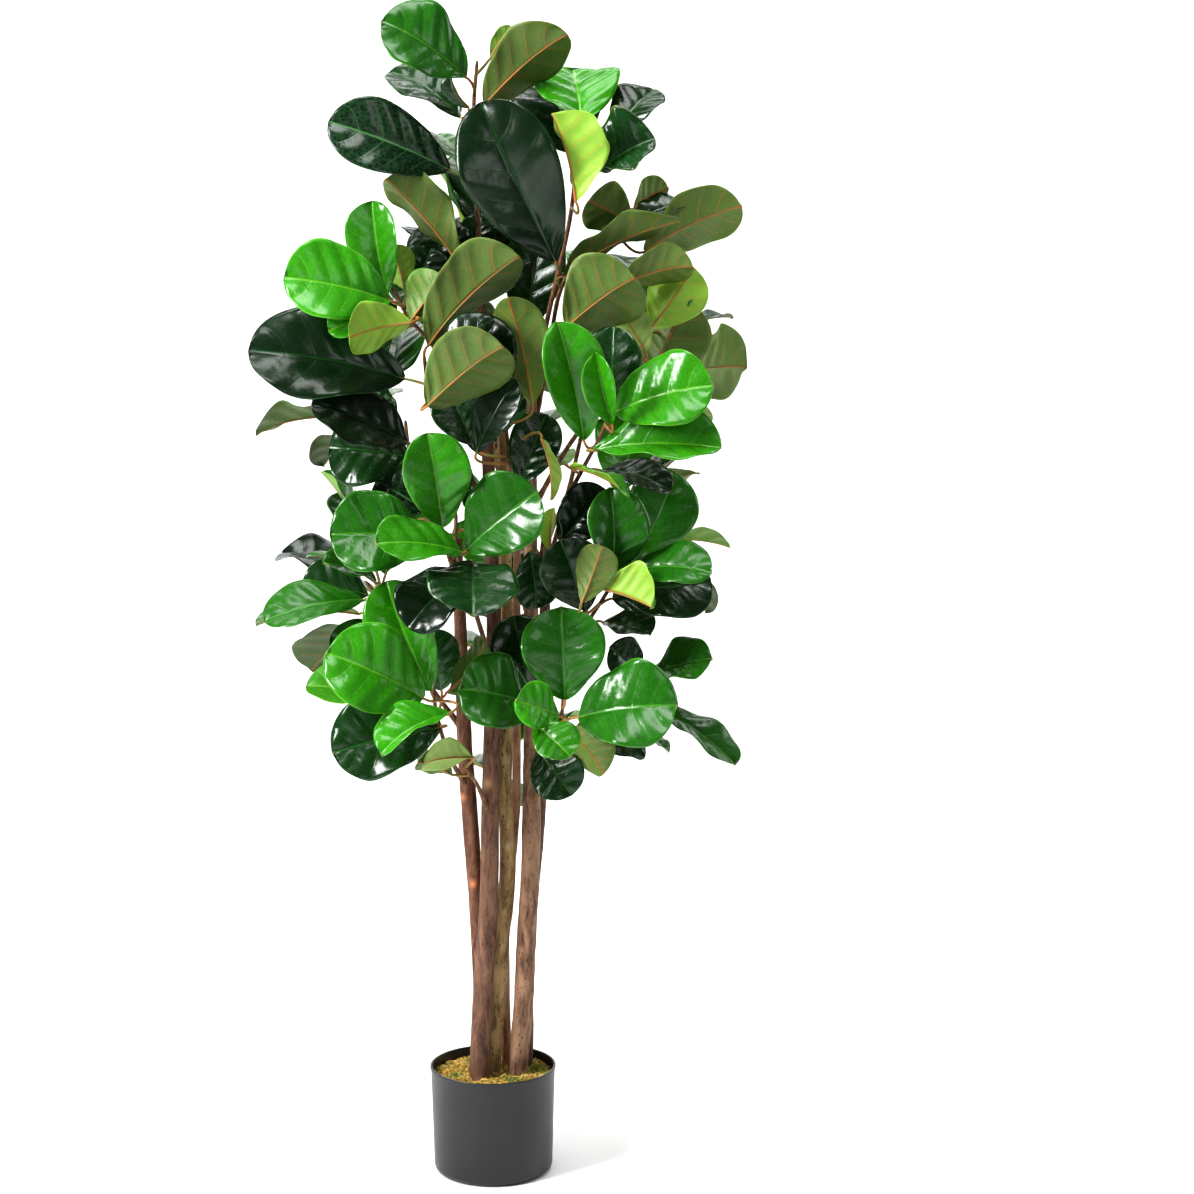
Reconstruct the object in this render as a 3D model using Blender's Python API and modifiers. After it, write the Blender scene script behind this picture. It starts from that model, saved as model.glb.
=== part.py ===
"""A potted fiddle leaf fig, 1.8 m tall.

Six natural wood poles stand in a turned plastic pot, held by a heavy set fill under a mat of dry moss.
Leafy branches are plugged into sockets in the poles. Metres, +Z up, -Y is the front, and the origin is
the centre of the pot's underside. The layout tables below are in centimetres.
"""

import math
import random

import bmesh
import bpy
from mathutils import Vector

CM = 0.01
GAP = 0.0003

# Pot: a tapered shell with a rounded foot and a thin rolled rim.
POT_HEIGHT = 0.169
POT_RIM_RADIUS = 0.0985
POT_FOOT_RADIUS = 0.0925
POT_FOOT_ROUND = 0.012
POT_WALL = 0.0022
POT_FLOOR = 0.003
POT_STEPS = 36
RIM_LIP = 0.0012
RIM_LIP_HEIGHT = 0.004

# Fill and moss inside the pot.
FILL_TOP = 0.138
MOSS_TOP = 0.151
MOSS_SWELL = 0.005
MOSS_STEPS = 28

# Poles: a smooth route through (x, y, z, radius), in centimetres, from the foot to the top.
POLES = {
    "pole_front_left": [
        (-2.4, -2.6, 3, 1.6), (-2.1, -2.6, 16, 1.6), (-1.6, -2.2, 28, 1.55), (-0.5, -2, 44, 1.45),
        (-0.2, -2, 59, 1.35), (0.1, -1.7, 70, 1.25), (0.5, -1.2, 86, 1.15), (0.2, -0.8, 100, 1.05),
        (-0.4, 0, 118, 0.9), (-1.2, 0.4, 140, 0.7),
    ],
    "pole_middle": [
        (-0.4, 0.9, 3, 1.2), (0, 0.9, 16, 1.2), (0.9, 0.9, 28, 1.2), (1.4, 0.8, 37, 1.25),
        (2.2, 0.8, 44, 1.3), (2.5, 0.8, 51, 1.25), (2.1, 0.9, 59, 1.1), (2.2, 1, 68, 1.05),
        (2.5, 1.4, 85, 1), (2.3, 2, 100, 0.9), (2, 2.6, 116, 0.7),
    ],
    "pole_right": [
        (3.4, -0.6, 3, 1.55), (3.9, -0.6, 16, 1.55), (4.9, -0.6, 28, 1.55), (5.3, -0.5, 38, 1.5),
        (5.9, -0.5, 47, 1.45), (6.2, -0.5, 59, 1.4), (6.3, -0.5, 75, 1.25), (6.2, -0.5, 95, 1.1),
        (6.3, -0.2, 112, 0.95), (6.6, 0.4, 128, 0.7),
    ],
    "pole_left": [
        (-2.7, 2.6, 3, 1.25), (-2.4, 2.3, 16, 1.25), (-1.9, 1.9, 28, 1.2), (-2.3, 1.5, 40, 1.2),
        (-2.8, 1.2, 48, 1.2), (-3.5, 0.8, 59, 1.25), (-4.1, 0.6, 68, 1.15), (-4.5, 0.6, 83, 1),
        (-5, 1, 100, 0.75),
    ],
    "pole_thin": [
        (2.4, 4.2, 3, 0.75), (2.2, 4.1, 16, 0.75), (2, 3.9, 28, 0.75), (2, 3.7, 40, 0.75),
        (2.8, 3.5, 47, 0.72), (3.4, 3.2, 52, 0.7), (3.9, 3, 60, 0.68), (4, 3.2, 75, 0.65),
        (4.1, 3.6, 92, 0.6), (4.4, 4.2, 108, 0.55),
    ],
    "pole_back": [
        (4.9, 3.2, 3, 1.1), (5.2, 3, 16, 1.1), (5.4, 2.9, 28, 1.1), (6.1, 2.8, 42, 1.1),
        (6.9, 2.7, 51, 1.1), (7.5, 2.6, 59, 1.1), (7.9, 2.7, 68, 1), (8.3, 3, 82, 0.9),
        (8.6, 3.6, 98, 0.7),
    ],
}
POLE_ROUNDNESS = 3
POLE_SPACING = 7.5

# Branches.
TWIG_RADIUS = 0.45
TWIG_TIP_RADIUS = 0.28
TWIG_SPACING = 6.0
TWIG_ROUNDNESS = 1
SOCKET_EXTRA = 0.05

# Leaves.
LEAF_THICKNESS = 0.0014
PETIOLE_WIDTH = 0.45
PETIOLE_DROP = 2.0
PETIOLE_ROWS = 1
STALK_STEP = 0.35
BLADE_ROWS = 4
BLADE_COLUMNS = 2
WIDEST_AT = 0.6
USUAL_ARCH = 0.07
USUAL_CUP = 14

# Each branch: its pole and the height of its socket, the twig's route beyond it, and its leaves.
# A leaf is (foot of the blade, tip, the way its upper face looks, width[, arch[, cup]]):
# arch is the midrib's rise over its length, and cup the angle that each half folds up, in degrees.
BRANCHES = {
    "branch_crown": ("pole_front_left", 132, [(-1.4, -0.5, 146), (-2, -1, 157), (-2, -2, 165), (-1.5, -2, 171)], [
        ((-3, -4, 169), (-15, -8, 177), (0.3, -1, 0.5), 11.5),
        ((-4, 0, 163.5), (-14.5, 4, 170.5), (0.4, -0.8, 0.7), 9.5),
        ((-5.5, -3, 155.5), (-23, -8, 162.5), (0.1, -1, 0.3), 10.5),
        ((-3, -5, 164.5), (-5.5, -6, 169.5), (-1, -0.5, 0.3), 3.5, 0.1, 35),
        ((-0.5, -4, 165), (11.5, -5, 175.5), (-0.5, 1, 0.3), 10),
        ((0.5, -2, 172), (3.5, -1, 176.5), (-0.5, 1, 0.2), 2.5),
        ((1, 3, 153), (4, 14, 161), (0, -0.3, 1), 9),
        ((-3, 3, 156), (-8, 14, 161), (0, 0.2, 1), 10),
    ]),
    "branch_high_right": ("pole_right", 122, [(9, 0, 134), (12, -1, 147), (13, -2, 155), (13.5, -2, 163)], [
        ((10, -5, 142), (-1, -10, 165), (-0.2, -1, 0.3), 14),
        ((14, -4, 162), (13, 5, 170.5), (0, -1, 0.9), 12.5),
        ((19, -2, 161), (25, 2, 167.5), (-0.4, -0.9, 0.6), 8),
        ((13, -9.5, 151), (9.5, -11, 163.5), (0.8, 0.6, 0), 12, 0.05, 38),
        ((16.5, -6, 155.5), (24.5, -8, 160), (-0.2, -1, 0.7), 12, 0.08, 30),
        ((12.5, 4, 158), (9.5, 11, 170.5), (0, -1, 0.5), 14),
        ((15, 3, 155), (20, 15, 159), (0, 0.2, 1), 10),
    ]),
    "branch_right_upper": ("pole_right", 114, [(9, 1, 128), (11, 1, 138), (15, 1, 143), (20, 1, 147)], [
        ((22, 4, 150), (27.5, 8, 153), (0, 1, 0.6), 5.5),
        ((21.5, -1.3, 147.5), (15, -3, 151), (0, 1, 0.3), 8),
        ((22, 2, 148), (31, 7, 150.5), (0, -0.5, 1), 7),
        ((11, -3, 140), (28.5, -7, 148), (-0.3, 0.6, 1), 9),
        ((23.5, 0, 143.5), (38, 2, 150.5), (-0.3, 1, 0.4), 9.5),
        ((19.5, -3, 138.5), (30.5, -3, 141.5), (0, 0.8, 0.8), 8),
        ((11.5, -7, 132.5), (21.5, -9, 140), (-0.3, 1, 0.2), 13),
    ]),
    "branch_right": ("pole_right", 104, [(12, 1, 114), (18, 0, 122), (22, 0, 128), (23.5, 0, 132)], [
        ((24.5, 2, 132), (27.5, 4, 140), (0, -1, 0.3), 9),
        ((24.5, -1, 132), (31, 0, 141), (0.3, 1, 0.2), 9),
        ((23.5, -3, 128.5), (20, -2, 134.5), (0, 1, 0.2), 6),
        ((24, 3, 123), (30, 4, 136), (0.2, 1, 0), 12),
        ((31, 6, 125), (40, 12, 125.5), (0.2, 1, 0.3), 12),
        ((30, 10, 131.5), (38, 15, 133), (0, 0, 1), 5),
    ]),
    "branch_right_middle": ("pole_right", 92, [(10, -2, 103), (14, -4, 111), (17, -6, 117), (18, -7, 121)], [
        ((14, -10, 116), (10, -14, 133.5), (0.2, -1, 0.2), 10, 0.07, 25),
        ((18, -13, 118.5), (15.5, -16, 129), (-0.3, -1, 0.2), 6.5, 0.07, 45),
        ((18.5, -6, 119), (18.5, -7, 132.5), (-0.3, -1, 0), 9.5),
        ((18.5, -9, 120), (32.5, -15, 124.5), (0, -1, 0.6), 12),
        ((15.5, -10, 114.5), (34, -15, 115), (0, -0.8, 0.8), 10, 0.07, 30),
        ((22, -2, 115.5), (34, 5, 117.5), (0, 0.5, 1), 8),
        ((17, -5, 111), (27, -9, 108.5), (0, -0.5, 1), 7),
        ((12, -9, 112), (20.5, -13, 108), (0.4, 0, 1), 6),
    ]),
    "branch_right_lower": ("pole_right", 72, [(11, -2, 81), (15, -4, 88), (18, -5, 93), (20, -5, 97)], [
        ((21.5, -6, 96), (28, -4, 110.5), (0.2, -1, 0.2), 10.5),
        ((18, -11, 95), (18, -12, 109), (0.4, -1, 0.1), 10, 0.07, 25),
        ((18.5, -5, 91.5), (33.5, -5, 94), (0, -1, 0.6), 12),
        ((21, -10, 96.5), (32.5, -16, 97), (0, -0.8, 1), 8.5),
        ((16, -14, 94.5), (23.5, -18, 92), (0, 1, 1), 10, 0.05, 45),
        ((14.5, -7, 90), (10.5, -9, 101), (0, -1, 0.1), 9.5),
        ((13.5, -15.5, 92.5), (16.5, -16.5, 101), (0.3, 1, 0), 6),
        ((12.5, -3, 100), (16.5, -4, 107.5), (-0.5, 1, 0), 4.5),
        ((17, -5, 88), (24, -10, 86.5), (0, -0.5, 1), 7.5),
    ]),
    "branch_left_upper": ("pole_front_left", 112, [(-4, -1, 121), (-8, -3, 129), (-12, -5, 134), (-14, -5, 138)], [
        ((-14.5, -9, 136.5), (-29.5, -15, 140), (0.1, -1, 0.5), 12.5),
        ((-15, -5, 137), (-17, -6, 151), (-0.3, -1, 0.1), 9, 0.07, 30),
        ((-11.5, -8.5, 133.5), (-6.5, -9, 140), (0.2, 1, 0.3), 8),
        ((-11.5, -13, 133.5), (-20, -18, 131.5), (0, 1, 0.4), 8),
        ((-15.5, -10, 134.5), (-23, -15, 132.5), (0, -1, 0.6), 5.5),
        ((-12.5, -3, 138), (-14, -3, 144.5), (0, 1, 0), 5),
        ((-11, 0, 137.5), (-8.5, 1, 144), (0, -1, 0.2), 7),
    ]),
    "branch_left": ("pole_front_left", 104, [(-4, -3, 112), (-7, -6, 119), (-9, -8, 124), (-9.5, -9, 128)], [
        ((-12.5, -8, 125), (-35, -12, 129.5), (0.1, -1, 0.5), 14),
        ((-9, -14.5, 121.5), (2, -17.5, 130.5), (0, 1, 0.5), 12),
        ((-9, -10, 130), (4.5, -11, 143), (-0.6, 1, 0.5), 12, 0.08, 25),
        ((-8, -12, 127), (0.5, -13.5, 134), (-0.6, -0.6, 0.6), 6.5, 0.05, 30),
    ]),
    "branch_inner_top": ("pole_front_left", 124, [(-2, 2, 131), (-3, 3, 139), (-3, 3, 144)], [
        ((-4.5, -5, 142), (-15, -8, 154), (0.4, 1, 0.6), 9, 0.07, 35),
        ((-5.5, 2, 138), (-8.5, 3, 148), (0, -1, 0.3), 9.5),
        ((-1.5, 4, 142), (-1.5, 5, 149), (0, -1, 0), 5.5),
        ((5.5, 5, 131), (8, 5, 147), (0, -1, 0.1), 9),
        ((0, 5, 137), (5, 7, 148.5), (0, -1, 0.2), 9),
        ((-6, 4.5, 133), (-13.5, 7, 141.5), (0, -1, 0.3), 9.5),
    ]),
    "branch_middle": ("pole_middle", 98, [(3, -2, 104), (3, -5, 111), (2.5, -6, 118)], [
        ((6.5, -8, 121), (3, -9, 137), (0.3, 1, 0.1), 8),
        ((-2.5, -6, 115), (-6, -7, 124), (0, -1, 0.2), 8),
        ((-2, -8, 114), (4, -10, 125), (-0.4, -1, 0.4), 7),
        ((8, -9, 116), (9, -10, 107), (1, 0.2, 0), 6),
        ((2, -5.5, 109.5), (-1, -7.5, 98.5), (0.2, -1, 0.3), 8),
        ((4.5, -5.5, 109), (8.5, -6, 119.5), (0, -1, 0.2), 7.5),
        ((2, -7.5, 122), (-1.5, -8, 134), (0, -1, 0.2), 8),
    ]),
    "branch_inner_low": ("pole_right", 86, [(6.5, -4, 91), (7.5, -5.5, 97), (8, -6, 101)], [
        ((6, -7, 99), (7, -8, 90.5), (0.2, -1, 0), 6.5),
        ((9, -6, 99), (9.5, -7, 105.5), (-1, 0.8, 0), 4),
        ((10.5, -5, 100), (17.5, -5, 108), (0, -1, 0.3), 8),
    ]),
    "branch_left_middle": ("pole_left", 92, [(-7, -1, 100), (-10, -3, 108), (-12, -4, 114), (-12.5, -4, 118)], [
        ((-12, -8, 115.5), (-26, -13, 121.5), (0, -1, 0.8), 11),
        ((-12, -4, 113), (-24, -4, 114.5), (0, -1, 0.3), 11.5),
        ((-14, 1, 117), (-21.5, 5, 122), (0, -0.6, 1), 8),
        ((-9.5, -5, 105), (-17, -5, 109.5), (0, -1, 0.3), 9),
        ((-8.5, -4, 104), (-5, -4.5, 113.5), (0, -1, 0.2), 7.5),
        ((-11, 0, 103), (-19, 3, 98), (0, -1, 0.4), 8.5),
    ]),
    "branch_front": ("pole_front_left", 80, [(-1.5, -5, 87), (-3.5, -8, 94), (-5, -10, 99.5), (-5, -11, 105)], [
        ((-7, -13, 103.5), (-9, -15, 117.5), (0.2, -1, 0.1), 10, 0.07, 20),
        ((-9, -10, 101.5), (-23.5, -13, 102.5), (0, -1, 0.4), 12.5),
        ((-4, -15, 100), (-16.5, -21, 102), (0, -0.8, 1), 9),
        ((-3.5, -13, 100), (7, -16, 109), (-0.2, -1, 0.4), 12),
        ((-2.5, -13, 98), (-2.5, -24, 92), (0, -0.6, 1), 13),
        ((-3.5, -12, 96.5), (-12, -18, 89.5), (-0.2, -0.8, 0.8), 10),
        ((-2, -10, 104.5), (-2, -11, 109), (0, -1, 0.3), 4),
    ]),
    "branch_left_lower": ("pole_left", 76, [(-9, -1, 83), (-14, -3, 89), (-17, -4, 92), (-18.5, -5, 94)], [
        ((-19, -8, 92), (-33.5, -12, 89.5), (0, -0.7, 1), 9),
        ((-18.5, -3, 92), (-28.5, -2, 93.5), (0, -1, 0.5), 8.5),
        ((-17, -7, 94.5), (-24.5, -12, 98), (0, -0.5, 1), 6.5),
        ((-19, 0, 95), (-28, 4, 97), (0, 0, 1), 5),
    ]),
    "branch_left_low": ("pole_left", 61, [(-6, -3, 66), (-7.5, -6, 71), (-8.5, -8, 76.5), (-8.5, -9, 81)], [
        ((-9, -11, 78.5), (-15.5, -11, 95), (-0.2, -1, 0.1), 11, 0.07, 30),
        ((-10, -14, 78), (-23.5, -20, 86), (0.1, -1, 0.5), 13),
        ((-13, -6, 81), (-24, -9, 86.5), (0, -1, 0.5), 8),
        ((-13, -5, 75.5), (-28, -4, 78), (0, -0.6, 1), 8),
        ((-7.5, -11, 73), (-23.5, -15, 70), (0, -1, 0.6), 12),
        ((-6, -17.5, 76.5), (-16, -23.5, 72), (-0.3, -0.6, 1), 9, 0.07, 30),
        ((-6.5, -10, 78), (-0.5, -12.5, 86), (0.8, 0.2, 0.4), 8),
        ((-7.5, -5, 77.5), (-9, -6, 87), (0, -1, 0.2), 7.5),
    ]),
    "branch_front_low": ("pole_right", 58, [(8, -5, 64), (9.5, -8, 69), (10.5, -10, 73.5), (11, -10, 79)], [
        ((7, -12.5, 76.5), (-4.5, -17, 80), (0, -1, 0.6), 11.5),
        ((10, -18, 76), (3.5, -22, 79), (0, -1, 0.5), 7),
        ((6.5, -20, 75), (11.5, -24, 71), (0.2, -1, 0.6), 7),
        ((11, -13, 77.5), (10.5, -14, 91.5), (0, -1, 0.2), 12.5, 0.07, 20),
        ((6, -9, 77), (3.5, -10, 89.5), (0, -1, 0.1), 8.5),
        ((13, -14, 75), (27, -20, 78), (0, -1, 0.6), 13),
        ((11, -14, 73), (17, -16, 67), (0, 1, 0.8), 8),
        ((7, -9, 69), (12, -13, 63), (-0.2, -1, 0.5), 8),
        ((14, -9, 71.5), (23, -12, 68.5), (0, -0.5, 1), 6.5),
    ]),
    "branch_right_low": ("pole_back", 64, [(13, 1, 70), (18, 0, 76), (22, -2, 80)], [
        ((22.5, -6, 80), (18, -8, 84.5), (0, -1, 0.6), 6.5),
        ((24, -4, 79), (33.5, -7, 82.5), (0, -0.6, 1), 9),
        ((25, -2, 74), (37, -8, 66), (0.2, -0.3, 1), 8),
        ((21, 1, 70), (27.5, -1, 67), (0, 0, 1), 4.5),
    ]),
    "branch_knee": ("pole_front_left", 57, [(-2, -5, 62.5), (-4, -7, 66)], [
        ((-3, -9, 68), (-10, -13, 68), (0, 1, 0.5), 7),
        ((-6, -7, 65), (-11, -9, 67.5), (0, 1, 0.6), 5),
    ]),
}

# Branches at the back: pole, socket height, twig's end, the heading they fan about, and leaf count.
BACK_BRANCHES = {
    "branch_back_high": ("pole_middle", 112, (-2, 11, 142), -10, 7),
    "branch_back_upper_right": ("pole_back", 94, (17, 10, 127.8), 30, 7),
    "branch_back_upper_left": ("pole_left", 96, (-16, 10, 121), -45, 7),
    "branch_back_middle": ("pole_thin", 104, (1, 15, 110), 0, 7),
    "branch_back_right": ("pole_back", 76, (19.5, 8, 100), 58, 7),
    "branch_back_left": ("pole_left", 70, (-17, 8, 91), -45, 7),
    "branch_back_lower": ("pole_thin", 74, (3, 15, 84), -8, 7),
    "branch_back_low": ("pole_middle", 62, (1, 10, 65), 10, 5),
}
BACK_SPREAD = 65
BACK_LEAF_LENGTH = 15
BACK_LEAF_WIDTH = 10.5
BACK_PETIOLE = 3.5
GOLDEN = 0.618


def new_collection(name):
    collection = bpy.data.collections.new(name)
    bpy.context.scene.collection.children.link(collection)
    return collection


def finish_material(name, colour, roughness, metallic=0.0):
    material = bpy.data.materials.new(name)
    material.use_nodes = True
    shader = material.node_tree.nodes["Principled BSDF"]
    shader.inputs["Base Color"].default_value = (*colour, 1)
    shader.inputs["Roughness"].default_value = roughness
    shader.inputs["Metallic"].default_value = metallic
    return material


def add_object(name, mesh, collection, material=None):
    obj = bpy.data.objects.new(name, mesh)
    collection.objects.link(obj)
    if material:
        mesh.materials.append(material)
    return obj


def as_helper(obj):
    obj.hide_render = True
    obj.display_type = "WIRE"
    return obj


def boolean(obj, name, operation, other):
    """Cuts or joins one object, or a whole collection of them."""
    modifier = obj.modifiers.new(name, "BOOLEAN")
    modifier.operation = operation
    if isinstance(other, bpy.types.Collection):
        modifier.operand_type = "COLLECTION"
        modifier.collection = other
    else:
        modifier.object = other
    return modifier


def smooth(mesh):
    mesh.shade_smooth()
    mesh.set_sharp_from_angle(angle=math.radians(40))


def smooth_route(points, spacing):
    """Rows read from a Catmull-Rom curve through the given rows, about one spacing apart."""
    rows = [Vector(p) for p in points]
    rows = [2 * rows[0] - rows[1], *rows, 2 * rows[-1] - rows[-2]]
    route = []
    for before, start, end, after in zip(rows, rows[1:], rows[2:], rows[3:]):
        count = max(1, round((end - start).length / spacing))
        for step in range(count):
            t = step / count
            route.append(
                0.5 * (2 * start + (end - before) * t
                       + (2 * before - 5 * start + 4 * end - after) * t * t
                       + (3 * start - before - 3 * end + after) * t ** 3)
            )
    route.append(rows[-2])
    return route


def tube_mesh(name, rows, resolution):
    """A closed tube through (x, y, z, radius) rows in centimetres, its caps welded on."""
    data = bpy.data.curves.new(name, "CURVE")
    data.dimensions = "3D"
    data.bevel_depth = CM
    data.bevel_resolution = resolution
    data.use_fill_caps = True
    spline = data.splines.new("POLY")
    spline.points.add(len(rows) - 1)
    for point, row in zip(spline.points, rows):
        point.co = (row[0] * CM, row[1] * CM, row[2] * CM, 1)
        point.radius = row[3]
    curve = bpy.data.objects.new(name, data)
    bpy.context.scene.collection.objects.link(curve)
    graph = bpy.context.evaluated_depsgraph_get()
    mesh = bpy.data.meshes.new_from_object(curve.evaluated_get(graph))
    bpy.data.objects.remove(curve)
    bm = bmesh.new()
    bm.from_mesh(mesh)
    bmesh.ops.remove_doubles(bm, verts=bm.verts, dist=1e-6)
    bmesh.ops.recalc_face_normals(bm, faces=bm.faces)
    bm.to_mesh(mesh)
    bm.free()
    return mesh


def turned(name, profile, collection, material, steps=POT_STEPS):
    """A Screw of an (r, z) profile that runs down its outer side."""
    mesh = bpy.data.meshes.new(name)
    verts = [(r, 0, z) for r, z in profile]
    mesh.from_pydata(verts, [(i, i + 1) for i in range(len(verts) - 1)], [])
    obj = add_object(name, mesh, collection, material)
    screw = obj.modifiers.new("Turn", "SCREW")
    screw.steps = steps
    screw.render_steps = steps
    screw.use_merge_vertices = True
    screw.merge_threshold = 0.00001
    screw.use_smooth_shade = True
    return obj


def wall_radius(z):
    """The pot's outer radius at a height."""
    return POT_FOOT_RADIUS + (POT_RIM_RADIUS - RIM_LIP - POT_FOOT_RADIUS) * z / POT_HEIGHT


def pot_profile():
    lip_foot = POT_HEIGHT - RIM_LIP_HEIGHT
    outer = [
        (wall_radius(POT_HEIGHT) - POT_WALL, POT_HEIGHT),
        (POT_RIM_RADIUS - RIM_LIP / 2, POT_HEIGHT),
        (POT_RIM_RADIUS, POT_HEIGHT - RIM_LIP),
        (POT_RIM_RADIUS, lip_foot),
        (wall_radius(lip_foot), lip_foot - RIM_LIP),
    ]
    centre = wall_radius(POT_FOOT_ROUND) - POT_FOOT_ROUND
    for step in range(5):
        angle = math.radians(step * 22.5)
        outer.append((centre + POT_FOOT_ROUND * math.cos(angle),
                      POT_FOOT_ROUND * (1 - math.sin(angle))))
    inner_round = POT_FOOT_ROUND - POT_WALL
    inner = [(0, 0), (0, POT_FLOOR), (centre, POT_FLOOR)]
    for step in range(1, 4):
        angle = math.radians(90 - step * 30)
        inner.append((centre + inner_round * math.cos(angle),
                      POT_FLOOR + inner_round * (1 - math.sin(angle))))
    return [*outer, *inner, outer[0]]


def make_pot(parts, material):
    return turned("pot", pot_profile(), parts, material)


def inside_radius(z):
    return wall_radius(z) - POT_WALL - GAP


def make_fill(parts, material, pole_cutters):
    """A solid plug with blind pockets for the poles."""
    bottom = POT_FLOOR + GAP
    start = POT_FOOT_ROUND
    profile = [
        (0, FILL_TOP), (inside_radius(FILL_TOP), FILL_TOP), (inside_radius(start), start),
        (inside_radius(start) - start * 0.75, bottom), (0, bottom),
    ]
    fill = turned("potting_fill", profile, parts, material)
    boolean(fill, "Pole pockets", "DIFFERENCE", pole_cutters)
    return fill


def make_moss(parts, material, pole_cutters):
    """A low uneven mat over the fill, open round the poles."""
    bottom = FILL_TOP + GAP
    rings = 5
    radius = inside_radius(bottom) - GAP
    profile = [(0, MOSS_TOP)]
    for ring in range(1, rings):
        share = ring / rings
        profile.append((radius * share, MOSS_TOP + MOSS_SWELL * math.sin(share * 2.6)))
    profile += [(radius, MOSS_TOP), (radius, bottom), (0, bottom)]
    moss = turned("moss", profile, parts, material, steps=MOSS_STEPS)
    boolean(moss, "Pole gaps", "DIFFERENCE", pole_cutters)
    return moss


def pole_rows(name):
    return smooth_route(POLES[name], POLE_SPACING)


def on_pole(name, height):
    """The pole's axis, as (x, y, z) in centimetres, at a height in centimetres."""
    rows = pole_rows(name)
    for low, high in zip(rows, rows[1:]):
        if low[2] <= height <= high[2]:
            return low.lerp(high, (height - low[2]) / (high[2] - low[2])).to_3d()
    return rows[-1].to_3d()


def twig_rows(pole, height, route):
    """The twig's (x, y, z, radius) rows, from the pole's axis to its tip."""
    points = smooth_route([on_pole(pole, height), *route], TWIG_SPACING)
    last = len(points) - 1
    radii = [TWIG_RADIUS + (TWIG_TIP_RADIUS - TWIG_RADIUS) * i / last for i in range(last + 1)]
    return [(*point, radius) for point, radius in zip(points, radii)]


def socket_rows(rows):
    """The twig's rows, grown all round, and started a little behind its end."""
    grown = [(*row[:3], row[3] + GAP / CM) for row in rows]
    first, second = Vector(rows[0][:3]), Vector(rows[1][:3])
    behind = first + (first - second).normalized() * SOCKET_EXTRA
    return [(*behind, grown[0][3]), *grown[1:]]


def half_width(share):
    """A fiddle leaf's outline: narrow at the foot, widest past the middle, round at the tip."""
    lean = math.log(0.5) / math.log(WIDEST_AT)
    return math.sin(math.pi * share ** lean) ** 0.55 if 0 < share < 1 else 0.0


def nearest_on(rows, point):
    """The nearest point of a route to a point."""
    best = None
    for start, end in zip(rows, rows[1:]):
        a, b = Vector(start[:3]), Vector(end[:3])
        t = max(0.0, min(1.0, (point - a).dot(b - a) / (b - a).length_squared))
        spot = a.lerp(b, t)
        if best is None or (spot - point).length < (best - point).length:
            best = spot
    return best


def leaf_point(leaf, root, along, across):
    """A point of the leaf, in centimetres. along runs 0 to 1 up the blade, and -1 to 0 up the stalk."""
    foot, tip, facing, width = (Vector(leaf[0]), Vector(leaf[1]), Vector(leaf[2]), leaf[3])
    arch = leaf[4] if len(leaf) > 4 else USUAL_ARCH
    cup = math.radians(leaf[5] if len(leaf) > 5 else USUAL_CUP)
    line = tip - foot
    ahead = line.normalized()
    up = (facing - facing.dot(ahead) * ahead).normalized()
    side = ahead.cross(up)
    if along <= 0:
        reach = (foot - root).length
        lead = foot - ahead * reach * 0.4
        t = along + 1
        spot = root * (1 - t) ** 2 + lead * 2 * t * (1 - t) + foot * t * t
        return spot + side * across * PETIOLE_WIDTH / 2
    spot = foot + line * along + up * (arch * line.length * 4 * along * (1 - along))
    half = max(width / 2 * half_width(along), PETIOLE_WIDTH / 2)
    return spot + side * across * half * math.cos(cup) + up * abs(across) * half * math.sin(cup)


def leaf_root(leaf, rows, index):
    """Where the leaf's stalk leaves the twig: below the blade's foot, a step from its neighbour's."""
    drop = PETIOLE_DROP + STALK_STEP * (index % 3)
    return nearest_on(rows, Vector(leaf[0]) - Vector((0, 0, drop)))


def leaf_solid(name, leaf, root, collection):
    """A leaf and its stalk as one thin closed solid, on a grid bent along the midrib."""
    total = PETIOLE_ROWS + BLADE_ROWS
    bm = bmesh.new()
    bmesh.ops.create_grid(bm, x_segments=BLADE_COLUMNS, y_segments=total, size=1)
    for vert in bm.verts:
        row = round((vert.co.y + 1) / 2 * total)
        if row <= PETIOLE_ROWS:
            along = row / PETIOLE_ROWS - 1
        else:
            along = 0.5 - 0.5 * math.cos(math.pi * (row - PETIOLE_ROWS) / BLADE_ROWS)
        vert.co = leaf_point(leaf, root, along, vert.co.x) * CM
    mesh = bpy.data.meshes.new(name)
    bm.to_mesh(mesh)
    bm.free()
    obj = as_helper(add_object(name, mesh, collection))
    solidify = obj.modifiers.new("Thickness", "SOLIDIFY")
    solidify.thickness = LEAF_THICKNESS
    solidify.offset = 0
    return obj


def back_leaves(name, end, middle, count):
    """Leaves that fan out behind a twig's end, turned from one to the next."""
    draw = random.Random(name)
    end = Vector(end)
    leaves = []
    for index in range(count):
        share = index / (count - 1)
        swing = 2 * ((0.5 + index * GOLDEN) % 1) - 1
        heading = math.radians(middle + BACK_SPREAD * swing + draw.uniform(-8, 8))
        rise = math.radians(-25 + 80 * share + draw.uniform(-8, 8))
        ahead = Vector((math.sin(heading) * math.cos(rise), math.cos(heading) * math.cos(rise),
                        math.sin(rise)))
        length = BACK_LEAF_LENGTH * draw.uniform(0.85, 1.15)
        foot = end + ahead * BACK_PETIOLE + Vector((0, 0, 7 * (share - 0.6)))
        facing = Vector((0, 0, 1)) - ahead * 0.6 + Vector((draw.uniform(-0.2, 0.2),) * 2 + (0,))
        leaves.append((foot, foot + ahead * length, facing, BACK_LEAF_WIDTH * length / 15))
    return leaves


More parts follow.
